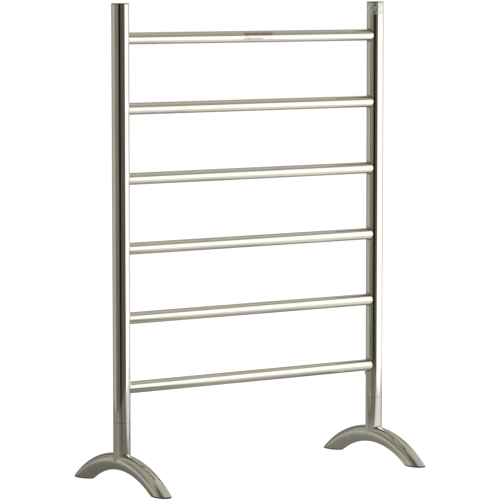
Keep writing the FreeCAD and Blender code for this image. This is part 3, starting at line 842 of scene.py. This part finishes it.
setScrewShape = {"radius": 3 * mm, "edge": 0.35 * mm, "across": 3 * mm, "socketDepth": 2.4 * mm,
                 "sides": 48}


def screwHeights():
    low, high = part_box("foot_fixing_screws")
    return low.z + setScrewShape["radius"], high.z - setScrewShape["radius"]


def makeSetScrews():
    low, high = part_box("foot_fixing_screws")
    made = []
    for x in (-postX, postX):
        for height in screwHeights():
            screw = addRod("setScrew", setScrewShape["radius"], high.y - low.y,
                           (x, (low.y + high.y) / 2, height), "Y", setScrewShape["sides"])
            bevelEdges(screw, setScrewShape["edge"], 3, lambda a, b: abs(a.y - b.y) < tiny)
            cutAway(screw, [addRod("socket", setScrewShape["across"] / math.sqrt(3),
                                   2 * setScrewShape["socketDepth"], (x, high.y, height), "Y", 6)])
            made.append(screw)
    screws = joinAll(made, "setScrews")
    smoothByAngle(screws)
    return screws


glandShape = {"back": 8 * mm, "edge": 1.4 * mm, "collar": 2.2 * mm, "recess": 0.6 * mm, "step": 0.3 * mm,
              "shank": 5.9 * mm, "shankEnd": 17 * mm, "bore": 3.6 * mm, "mouth": 0.5 * mm,
              "grip": 0.9 * mm, "gripDepth": 4 * mm, "gripShare": 0.35, "grips": 12}


def makeGland():
    low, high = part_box("cord_gland")
    middle = (low + high) / 2
    radius = (high.x - low.x) / 2
    back, grip, bore, end = (glandShape[key] for key in ("back", "grip", "bore", "shankEnd"))
    gland = addRod("cordGland", radius, high.y - back, (middle.x, (high.y + back) / 2, middle.z), "Y", 96)
    bevelEdges(gland, glandShape["edge"], 6, lambda a, b: min(a.y, b.y) > high.y - tiny)
    pick(gland, "FACE", lambda centre, normal: normal.y > 0.99)
    bpy.ops.mesh.inset(thickness=glandShape["collar"] - glandShape["edge"])
    extrude(y=-glandShape["recess"])
    bpy.ops.mesh.inset(thickness=glandShape["step"])
    objectMode()
    cutAway(gland, [addRod("postWall", postRadius, through, (middle.x, 0, middle.z), "Z", 160)])
    cutters = []
    for number in range(glandShape["grips"]):
        turn = 2 * math.pi * number / glandShape["grips"]
        reach = radius + grip * glandShape["gripShare"]
        cutters.append(addRod("grip", grip, glandShape["gripDepth"],
                              (middle.x + reach * math.cos(turn), high.y,
                               middle.z + reach * math.sin(turn)), "Y", 20))
    cutAway(gland, cutters)
    unite(gland, [addRod("shank", glandShape["shank"], end - low.y,
                         (middle.x, (end + low.y) / 2, middle.z), "Y", 64)])
    cutAway(gland, [addRod("bore", bore, through, middle, "Y", 64)])

    def onMouth(co):
        return co.y > high.y - 2 * mm and abs(math.hypot(co.x - middle.x, co.z - middle.z) - bore) < 10 * tiny

    bevelEdges(gland, glandShape["mouth"], 3,
               lambda a, b: abs(a.y - b.y) < tiny and onMouth(a) and onMouth(b))
    smoothByAngle(gland)
    return gland


earthShape = {"head": 3.8 * mm, "rise": 2.4 * mm, "dome": 1.1 * mm, "seam": 0.2 * mm, "slot": 1.0 * mm,
              "slotDepth": 1.2 * mm, "shank": 2.0 * mm, "overlap": 0.5 * mm}


def makeEarthScrew():
    low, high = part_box("earth_screw")
    middle = (low + high) / 2
    rise = earthShape["rise"]
    start = high.y - rise
    screw = addRod("earthScrew", earthShape["head"], rise, (middle.x, high.y - rise / 2, middle.z),
                   "Y", 64)
    bevelEdges(screw, earthShape["dome"], 6, lambda a, b: min(a.y, b.y) > high.y - tiny)
    bevelEdges(screw, earthShape["seam"], 2, lambda a, b: max(a.y, b.y) < start + tiny)
    cutAway(screw, [addBlock("slot", (through, 2 * earthShape["slotDepth"], earthShape["slot"]),
                             (middle.x, high.y, middle.z))])
    start += earthShape["overlap"]
    unite(screw, [addRod("shank", earthShape["shank"], start - low.y,
                         (middle.x, (start + low.y) / 2, middle.z), "Y", 40)])
    smoothByAngle(screw)
    return screw


switchShape = {"saddleBack": 10 * mm, "saddleCorner": 2.2 * mm, "saddleEdge": 0.5 * mm,
               "hole": (9.0 * mm, 13.6 * mm), "flangeCorner": 1.5 * mm, "flangeEdge": 0.4 * mm,
               "border": 0.8 * mm, "sunk": 0.25 * mm, "flange": (11 * mm, 1.2 * mm, 15.6 * mm),
               "overlap": 0.3 * mm, "body": (8.6 * mm, 13.2 * mm), "well": (6.4 * mm, 10.8 * mm),
               "wellDepth": 5.2 * mm}


def roundedBlock(name, size, middle, corner, edge):
    # upright corners rounded wide, the outer rim a little
    block = addBlock(name, size, middle)
    outer = middle[1] + size[1] / 2
    bevelEdges(block, corner, 6, lambda a, b: abs(a.y - b.y) > size[1] * 0.9)
    bevelEdges(block, edge, 3, lambda a, b: min(a.y, b.y) > outer - tiny)
    return block


def makeSaddle():
    low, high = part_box("switch_saddle")
    middle = (low + high) / 2
    back = switchShape["saddleBack"]
    saddle = roundedBlock("switchSaddle", (high.x - low.x, high.y - back, high.z - low.z),
                          (middle.x, (high.y + back) / 2, middle.z), switchShape["saddleCorner"],
                          switchShape["saddleEdge"])
    width, tall = switchShape["hole"]
    cutAway(saddle, [addRod("postWall", postRadius, through, (middle.x, 0, middle.z), "Z", 160)])
    cutAway(saddle, [addBlock("hole", (width, through, tall), (middle.x, high.y, middle.z))])
    smoothByAngle(saddle)
    return saddle


def makeHousing():
    low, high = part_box("switch_housing")
    middle = (low + high) / 2
    thick = switchShape["flange"][1]
    housing = roundedBlock("switchHousing", switchShape["flange"],
                           (middle.x, high.y - thick / 2, middle.z), switchShape["flangeCorner"],
                           switchShape["flangeEdge"])
    pick(housing, "FACE", lambda centre, normal: normal.y > 0.99)
    bpy.ops.mesh.inset(thickness=switchShape["border"])
    extrude(y=-switchShape["sunk"])
    objectMode()
    back = high.y - thick + switchShape["overlap"]
    width, tall = switchShape["body"]
    unite(housing, [addBlock("body", (width, back - low.y, tall), (middle.x, (back + low.y) / 2, middle.z))])
    width, tall = switchShape["well"]
    cutAway(housing, [addBlock("well", (width, 2 * (switchShape["wellDepth"] + thick), tall),
                               (middle.x, high.y, middle.z))])
    smoothByAngle(housing)
    return housing


rockerShape = {"size": (6.1 * mm, 9.6 * mm), "rise": 2.4 * mm, "dip": 1.6 * mm, "curve": 1.7,
               "depth": 3 * mm, "taper": 0.75, "edge": 0.35 * mm, "tilt": 9, "pivot": 0.75 * mm,
               "stub": 0.8 * mm, "ribs": (1.7 * mm, 2.4 * mm, 3.1 * mm), "rib": 0.22 * mm,
               "ribShare": 0.62}


def makeRocker():
    width, tall = rockerShape["size"]
    half = tall / 2
    rocker = addBlock("switchRocker", (width, 2, tall), (0, 0, 0))
    pickAll(rocker)
    bpy.ops.mesh.subdivide(number_cuts=15)
    objectMode()

    def front(share):
        # how far the dished face stands out, from the middle to an end
        return rockerShape["dip"] + (rockerShape["rise"] - rockerShape["dip"]) * share ** rockerShape["curve"]

    for corner in rocker.data.vertices:
        along = corner.co.z / half
        level = corner.co.y     # from -1 at the back to 1 at the front
        if level > 0:
            corner.co.y = front(abs(along)) * level
        else:
            narrow = 1 - rockerShape["taper"] * max(-level - 1 / 3, 0)
            corner.co = (corner.co.x, rockerShape["depth"] * level, along * half * narrow)
    useModifier(rocker, "BEVEL", width=rockerShape["edge"], segments=3, limit_method="ANGLE",
                angle_limit=math.radians(50))
    extras = [addRod("stub", rockerShape["pivot"], width + 2 * rockerShape["stub"], (0, 0, 0), "X", 32)]
    for rib in rockerShape["ribs"]:
        ridge = addRod("rib", rockerShape["rib"], width * rockerShape["ribShare"],
                       (0, front(rib / half), rib), "X", 16)
        bevelEdges(ridge, rockerShape["rib"] * 0.6, 2, lambda a, b: abs(a.x - b.x) < tiny)
        extras.append(ridge)
    unite(rocker, extras)
    pickAll(rocker)
    bpy.ops.mesh.dissolve_degenerate(threshold=5 * tiny)
    bpy.ops.mesh.remove_doubles(threshold=tiny)
    objectMode()
    rocker.location = frame["joints"][0]["pos_m"]
    rocker.rotation_euler = (math.radians(rockerShape["tilt"]), 0, 0)
    setPlace(rocker)
    smoothByAngle(rocker)
    return rocker


labelShape = {"film": 0.15 * mm, "sides": 360, "barTurns": (112, 217), "wrapOpen": 30}


def makeFilm(name, node, radius, middle, axis, bare):
    # a film round a tube, as long as its node, except where the tube is left bare
    low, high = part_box(node)
    number = "XYZ".index(axis)
    middle[number] = (low[number] + high[number]) / 2
    radius += labelShape["film"]
    film = addRod(name, radius, high[number] - low[number], middle, axis, labelShape["sides"], "NOTHING")

    def fromAxis(co):
        out = co - middle
        out[number] = 0
        return out

    edit(film, "FACE", lambda centre, normal: bare(fromAxis(centre)), bpy.ops.mesh.delete, type="FACE")
    useModifier(film, "SOLIDIFY", thickness=labelShape["film"], offset=-1)

    def exact(index, co):
        out = fromAxis(co)
        return out.normalized() if out.length > radius - 5 * tiny else None

    polish(film, exact)
    return film


def makeBarLabel():
    # degrees from the back, up over the top of the bar
    first, last = (math.radians(turn) for turn in labelShape["barTurns"])
    return makeFilm("barLabel", "bar_label", barRadius, Vector((0, 0, barHeights[0])), "X",
                    lambda out: not first < math.atan2(out.z, out.y) % (2 * math.pi) < last)


def makePostLabel():
    # the wrap is open at the back of the post
    gap = math.radians(labelShape["wrapOpen"])
    return makeFilm("postLabel", "post_label", postRadius, Vector((postX, 0, 0)), "Z",
                    lambda out: abs(math.atan2(out.x, out.y)) < gap)


# build everything

pieces = []     # piece, the CAD node that it stands for, body, finish


def keep(piece, node, finish, body="rack"):
    pieces.append((piece, node, body, finish))


for node, sign in zip(postNodes, (-1, 1)):
    keep(makePost(node, sign), node, "postSteel")
print("posts made")
for node in barNodes:
    keep(makeBar(node), node, "barSteel")
print("bars made")
for side, sign in (("left", -1), ("right", 1)):
    keep(makeCap(side + "_top_cap", sign), side + "_top_cap", "capSteel")
    keep(makeArch(side + "_foot_arch", sign), side + "_foot_arch", "archSteel")
    keep(makeStem(side + "_foot_stem", sign), side + "_foot_stem", "stemSteel")
    for pad, node in makePads(sign, side):
        keep(pad, node, "padRubber")
print("caps and feet made")
keep(makeSetScrews(), "foot_fixing_screws", "screwSteel")
keep(makeGland(), "cord_gland", "glandPlastic")
keep(makeEarthScrew(), "earth_screw", "earthBrass")
keep(makeSaddle(), "switch_saddle", "switchRubber")
keep(makeHousing(), "switch_housing", "switchPlastic")
keep(makeRocker(), "switch_rocker", "rockerPlastic", "rocker")
keep(makeBarLabel(), "bar_label", "labelFilm")
keep(makePostLabel(), "post_label", "clearFilm")
print("small parts made")


# finishes

def makePolishGroup():
    # what is left of the polishing: rings round the tube, wipe marks, a little haze
    group, where = newGroup("polishMarks", {"Place": (0, 0, 0), "Along": 0, "Roughness": 0.06,
                                            "Rings": 0.02, "Smears": 0.03})
    fine = noise(group, where["Along"], 2600, 3, 0.6, "1D")
    broad = noise(group, where["Along"], 120, 2, 0.5, "1D")
    both = mathNode(group, "MULTIPLY", fine, broad)
    smear = spread(group, noise(group, where["Place"], 22, 4, 0.62), 0.5, 0.72)
    speck = spread(group, noise(group, where["Place"], 420, 2, 0.5), 0.69, 0.76)
    rough = mathNode(group, "MULTIPLY_ADD", both, where["Rings"], where["Roughness"])
    rough = mathNode(group, "MULTIPLY_ADD", smear, where["Smears"], rough)
    rough = mathNode(group, "MULTIPLY_ADD", speck, 0.06, rough)
    return closeGroup(group, {"Roughness": rough, "Height": fine, "Smear": smear})


def makeWeldTintAndShadeGroup():
    # faint straw tint close to a weld, and a darker line in its toe that is painted shade in the weld's
    # crease
    group, where = newGroup("weldTintAndToeShade", {
        "Steel": (0.8, 0.8, 0.8, 1), "Distance": 1, "Straw": (0.74, 0.64, 0.45, 1), "Reach": 4,
        "Toe": (0.30, 0.26, 0.20, 1), "Toe width": 0.5})

    def close(width):
        share = mathNode(group, "DIVIDE", where["Distance"], width)
        return mathNode(group, "SUBTRACT", 1, share, clamp=True)

    near = close(where["Reach"])
    near = mathNode(group, "MULTIPLY", near, mathNode(group, "MULTIPLY", near, 0.5))
    tinted = mixColours(group, near, where["Steel"], where["Straw"])
    return closeGroup(group, {"Colour": mixColours(group, close(where["Toe width"]), tinted, where["Toe"])})


def makeMouldedGroup():
    # fine spark texture, flow shades and dust of moulded plastic and rubber
    group, where = newGroup("mouldedSurface", {
        "Place": (0, 0, 0), "Colour": (0.04, 0.04, 0.04, 1), "Dust": (0.30, 0.29, 0.27, 1),
        "Dustiness": 0.12, "Grain size": 3000, "Roughness": 0.5})
    grain = noise(group, where["Place"], where["Grain size"])
    flow = spread(group, noise(group, where["Place"], 160, 3, 0.55), 0.3, 0.7, 0, 0.35)
    dust = spread(group, noise(group, where["Place"], 700, 4, 0.7), 0.48, 0.78)
    dust = mathNode(group, "MULTIPLY", dust, where["Dustiness"])
    shaded = mixColours(group, flow, where["Colour"], (0, 0, 0, 1))
    rough = mathNode(group, "SUBTRACT", grain, 0.5)
    rough = mathNode(group, "MULTIPLY_ADD", rough, 0.22, where["Roughness"])
    rough = mathNode(group, "MULTIPLY_ADD", dust, 0.6, rough, clamp=True)
    return closeGroup(group, {"Colour": mixColours(group, dust, shaded, where["Dust"]),
                              "Roughness": rough, "Height": grain})


def makeBrushedGroup():
    # drawn or turned metal: lines along one way, with stains
    group, where = newGroup("brushedMetal", {
        "Place": (0, 0, 0), "Colour": (0.6, 0.6, 0.6, 1), "Stain": (0.35, 0.30, 0.24, 1),
        "Staining": 0.3, "Stretch": (900, 900, 40), "Roughness": 0.3})
    stretched = addNode(group, "ShaderNodeVectorMath", {0: where["Place"], 1: where["Stretch"]},
                        operation="MULTIPLY")[0]
    lines = noise(group, stretched, 1, 4, 0.6)
    stain = spread(group, noise(group, where["Place"], 180, 4, 0.65), 0.45, 0.75)
    stain = mathNode(group, "MULTIPLY", stain, where["Staining"])
    dark = mixColours(group, spread(group, lines, 0.3, 0.7, 0, 0.18), where["Colour"], (0.1, 0.1, 0.1, 1))
    rough = mathNode(group, "MULTIPLY_ADD", lines, 0.16, where["Roughness"])
    rough = mathNode(group, "MULTIPLY_ADD", stain, 0.4, rough, clamp=True)
    return closeGroup(group, {"Colour": mixColours(group, stain, dark, where["Stain"]),
                              "Roughness": rough, "Height": lines})


polishGroup = makePolishGroup()
weldTintAndShadeGroup = makeWeldTintAndShadeGroup()
mouldedGroup = makeMouldedGroup()
brushedGroup = makeBrushedGroup()

steelFinish = {"colour": (0.82, 0.79, 0.71), "smeared": (0.77, 0.745, 0.675), "roughness": 0.052,
               "rings": 0.03, "smears": 0.035, "bump": 0.05, "bumpDistance": 0.01 * mm,
               "sideFade": (-0.25, 4 * mm)}


def polishedSteel(name, alongAndWeld, reach=4, toe=0.5, shade=1):
    # alongAndWeld gives the measure along the tube and the distance to the weld, in metres
    material, tree, skin, place = newMaterial(name)
    along, weld = alongAndWeld(tree, place)
    marks = addNode(tree, "ShaderNodeGroup", {
        "Place": place, "Along": along, "Roughness": steelFinish["roughness"],
        "Rings": steelFinish["rings"], "Smears": steelFinish["smears"]}, node_tree=polishGroup)
    clean, smeared = (tuple(part * shade for part in steelFinish[key]) + (1,)
                      for key in ("colour", "smeared"))
    colour = mixColours(tree, marks["Smear"], clean, smeared)
    if weld is not None:
        # straw tint near the weld, and painted shade as a darker line in its toe
        weld = mathNode(tree, "DIVIDE", weld, mm)
        colour = addNode(tree, "ShaderNodeGroup", {"Steel": colour, "Distance": weld, "Reach": reach,
                                                   "Toe width": toe}, node_tree=weldTintAndShadeGroup)[0]
    feed(tree, skin, {"Base Color": colour, "Roughness": marks["Roughness"], "Metallic": 1})
    addBump(tree, skin, marks["Height"], steelFinish["bump"], steelFinish["bumpDistance"])
    return material


def fromPostAxis(tree, place):
    # across from the nearer post's axis, positive on the inner side
    apart = split(tree, place)
    return mathNode(tree, "SUBTRACT", postX, mathNode(tree, "ABSOLUTE", apart["X"])), apart


def sideLift(tree, apart):
    # keeps the line of the weld away from the sides, where stem and arch run into each other
    slope, start = steelFinish["sideFade"]
    lift = mathNode(tree, "MULTIPLY_ADD", mathNode(tree, "ABSOLUTE", apart["Y"]), slope, start)
    return mathNode(tree, "MAXIMUM", lift, 0)


def postMarks(tree, place):
    inner, apart = fromPostAxis(tree, place)
    low = mathNode(tree, "SUBTRACT", apart["Z"], barHeights[-1])
    rise = mathNode(tree, "WRAP", low, barPitch / 2, -barPitch / 2)
    ring = mathNode(tree, "SUBTRACT", distanceOf(tree, rise, apart["Y"]), barRadius + barShape["weld"])
    # the outer side of the post and the part over the top bar have no weld
    outside = mathNode(tree, "LESS_THAN", inner, 0)
    above = mathNode(tree, "GREATER_THAN", apart["Z"], barHeights[0] + barPitch / 2)
    bare = mathNode(tree, "MAXIMUM", outside, above)
    return apart["Z"], mathNode(tree, "ADD", mathNode(tree, "ABSOLUTE", ring), bare)


def barMarks(tree, place):
    inner, apart = fromPostAxis(tree, place)
    return apart["X"], mathNode(tree, "SUBTRACT", distanceOf(tree, inner, apart["Y"]), postRadius)


def stemMarks(tree, place):
    apart = split(tree, place)
    ridge = mathNode(tree, "ADD", archTop - postRadius, mathNode(tree, "ABSOLUTE", apart["Y"]))
    gap = mathNode(tree, "ABSOLUTE", mathNode(tree, "SUBTRACT", apart["Z"], ridge))
    return apart["Z"], mathNode(tree, "ADD", gap, sideLift(tree, apart))


def archMarks(tree, place):
    inner, apart = fromPostAxis(tree, place)
    turn = mathNode(tree, "ARCTAN2", apart["Y"], mathNode(tree, "SUBTRACT", apart["Z"], archCentre))
    ring = mathNode(tree, "SUBTRACT", distanceOf(tree, inner, apart["Y"]), postRadius + stemShape["weld"])
    under = mathNode(tree, "LESS_THAN", apart["Z"], archTop - postRadius)
    gap = mathNode(tree, "ADD", mathNode(tree, "ABSOLUTE", ring),
                   mathNode(tree, "ADD", under, sideLift(tree, apart)))
    return mathNode(tree, "MULTIPLY", turn, archShape["bend"]), gap


def capMarks(tree, place):
    # turned rings on the top, lines round the edge
    inner, apart = fromPostAxis(tree, place)
    return mathNode(tree, "ADD", distanceOf(tree, inner, apart["Y"]), apart["Z"]), None


wrapFilm = {"colour": (0.66, 0.68, 0.62, 1), "rubbed": (0.88, 0.89, 0.86, 1), "clear": 0.05,
            "dull": 0.24, "band": 0.14, "bandSize": 520}


def clearFilm(name):
    # hazy clear wrap with rubbed patches and faint rings where it has shrunk
    material, tree, skin, place = newMaterial(name)
    rubbed = spread(tree, noise(tree, place, 150, 4, 0.6), 0.45, 0.7)
    rings = noise(tree, split(tree, place)["Z"], wrapFilm["bandSize"], 1, 0.4, "1D")
    rings = spread(tree, rings, 0.42, 0.62)
    haze = spread(tree, rubbed, 0, 1, wrapFilm["clear"], wrapFilm["dull"])
    feed(tree, skin, {
        "Base Color": mixColours(tree, rubbed, wrapFilm["colour"], wrapFilm["rubbed"]),
        "Roughness": spread(tree, rubbed, 0, 1, 0.12, 0.32),
        "Alpha": mathNode(tree, "MULTIPLY_ADD", rings, wrapFilm["band"], haze)})
    addBump(tree, skin, mathNode(tree, "ADD", rings, noise(tree, place, 260)), 0.15, 0.05 * mm)
    return material


# blank printed strips: ink, degrees round the bar, metres along it, how solid the print is
labelPrint = {
    "clear": 0.02, "colour": (0.86, 0.85, 0.82, 1),
    "strips": {
        "brown": ((0.19, 0.115, 0.09, 1), (135, 168), (-0.0238, 0.0435), 0.8),
        "faint": ((0.60, 0.45, 0.36, 1), (189, 207), (-0.0235, 0.019), 0.24),
    },
    "softTurn": 3, "softRun": 1.5 * mm,
}


def labelFilm(name):
    material, tree, skin, place = newMaterial(name)
    apart = split(tree, place)
    rise = mathNode(tree, "SUBTRACT", apart["Z"], barHeights[0])
    turn = mathNode(tree, "DEGREES", mathNode(tree, "ARCTAN2", rise, apart["Y"]))
    turn = mathNode(tree, "WRAP", turn, 360, 0)
    wear = spread(tree, noise(tree, place, 300, 4, 0.65), 0.3, 0.75, 1, 0.75)
    colour, solid = labelPrint["colour"], labelPrint["clear"]
    for ink, turns, runs, share in labelPrint["strips"].values():
        mask = wear
        for value, (low, high), soft in ((turn, turns, labelPrint["softTurn"]),
                                         (apart["X"], runs, labelPrint["softRun"])):
            mask = mathNode(tree, "MULTIPLY", mask, spread(tree, value, low - soft, low + soft))
            mask = mathNode(tree, "MULTIPLY", mask, spread(tree, value, high - soft, high + soft, 1, 0))
        colour = mixColours(tree, mask, colour, ink)
        solid = mathNode(tree, "MAXIMUM", solid, mathNode(tree, "MULTIPLY", mask, share))
    feed(tree, skin, {"Base Color": colour, "Alpha": solid,
                      "Roughness": spread(tree, wear, 0.75, 1, 0.30, 0.16)})
    return material


dust = (0.42, 0.40, 0.36)

# plastic and rubber: colour, dust, dustiness, grain size, roughness, bump
mouldedFinishes = {
    "padRubber": ((0.045, 0.045, 0.045), dust, 0.25, 2200, 0.78, 0.5),
    "cableSheath": ((0.42, 0.10, 0.07), dust, 0.15, 1800, 0.55, 0.3),
    "spliceSleeve": ((0.72, 0.72, 0.69), (0.5, 0.48, 0.44), 0.15, 2600, 0.45, 0.2),
    "cutoutBody": ((0.80, 0.77, 0.68), (0.5, 0.46, 0.40), 0.12, 3200, 0.28, 0.1),
    "leadInsulation": ((0.30, 0.13, 0.06), dust, 0.12, 2600, 0.42, 0.15),
    "glandPlastic": ((0.035, 0.035, 0.038), dust, 0.08, 4200, 0.46, 0.35),
    "switchRubber": ((0.040, 0.040, 0.041), dust, 0.09, 2600, 0.72, 0.45),
    "switchPlastic": ((0.030, 0.030, 0.032), dust, 0.1, 5200, 0.42, 0.35),
    "rockerPlastic": ((0.028, 0.028, 0.030), dust, 0.06, 3000, 0.16, 0.05),
}
mouldedSockets = ("Colour", "Dust", "Dustiness", "Grain size", "Roughness")

# turned, drawn and plated metal: colour, stain, staining, stretch of the lines, roughness, bump
brushedFinishes = {
    "innerSteel": ((0.60, 0.59, 0.57), (0.30, 0.27, 0.23), 0.35, (900, 900, 60), 0.32, 0.2),
    "screwSteel": ((0.55, 0.55, 0.54), (0.26, 0.24, 0.22), 0.25, (500, 2600, 500), 0.24, 0.2),
    "earthBrass": ((0.76, 0.57, 0.27), (0.40, 0.26, 0.12), 0.45, (700, 700, 2600), 0.26, 0.2),
    "terminalBrass": ((0.74, 0.66, 0.48), (0.38, 0.30, 0.18), 0.3, (900, 60, 900), 0.28, 0.2),
}
brushedSockets = ("Colour", "Stain", "Staining", "Stretch", "Roughness")


def surfaced(name, group, sockets, values, depth, **others):
    material, tree, skin, place = newMaterial(name)
    colour, second, *amounts, bump = values
    ins = dict(zip(sockets, (colour + (1,), second + (1,), *amounts)), Place=place)
    made = addNode(tree, "ShaderNodeGroup", ins, node_tree=group)
    feed(tree, skin, {"Base Color": made["Colour"], "Roughness": made["Roughness"], **others})
    addBump(tree, skin, made["Height"], bump, depth)
    return material


def slotName(name):
    return "".join("_" + letter.lower() if letter.isupper() else letter for letter in name)


steels = {
    "postSteel": polishedSteel("postSteel", postMarks, 3),
    "barSteel": polishedSteel("barSteel", barMarks, 3),
    "capSteel": polishedSteel("capSteel", capMarks, shade=0.55),
    "archSteel": polishedSteel("archSteel", archMarks, 5, 1.2),
    "stemSteel": polishedSteel("stemSteel", stemMarks, 5, 1.2),
}
# each finish with its slot
finishes = {name: (material, "polished_steel") for name, material in steels.items()}
for name, values in brushedFinishes.items():
    material = surfaced(name, brushedGroup, brushedSockets, values, 0.03 * mm, Metallic=1)
    finishes[name] = (material, slotName(name))
for name, values in mouldedFinishes.items():
    material = surfaced(name, mouldedGroup, mouldedSockets, values, 0.06 * mm)
    finishes[name] = (material, slotName(name))
# the rocker is glossy
rockerSkin = finishes["rockerPlastic"][0].node_tree.nodes["Principled BSDF"].inputs
rockerSkin["Coat Weight"].default_value = 0.4
finishes["clearFilm"] = (clearFilm("clearFilm"), "clear_film")
finishes["labelFilm"] = (labelFilm("labelFilm"), "label_film")
print("finishes made")

# CAD nodes that stay, inside the tubes or under the feet
carriedOver = {
    "left_foot_spigot": "innerSteel", "right_foot_spigot": "innerSteel",
    "left_front_end_plate": "innerSteel", "left_back_end_plate": "innerSteel",
    "right_front_end_plate": "innerSteel", "right_back_end_plate": "innerSteel",
    "pad_screws": "screwSteel", "heating_cable": "cableSheath", "cable_splices": "spliceSleeve",
    "thermal_cutout": "cutoutBody", "cutout_leads": "leadInsulation", "gland_nut": "glandPlastic",
    "earth_ring_terminal": "earthBrass", "earth_nut": "earthBrass", "switch_terminals": "terminalBrass",
}

for node, finish in carriedOver.items():
    slots = nodes[node].data.materials
    for number in range(len(slots)):
        slots[number] = finishes[finish][0]
for piece, node, body, finish in pieces:
    material, slot = finishes[finish]
    piece.data.materials.clear()
    piece.data.materials.append(material)
    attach(piece, body)
    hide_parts(node)
print("pieces placed:", len(pieces), "and CAD nodes kept:", len(carriedOver))
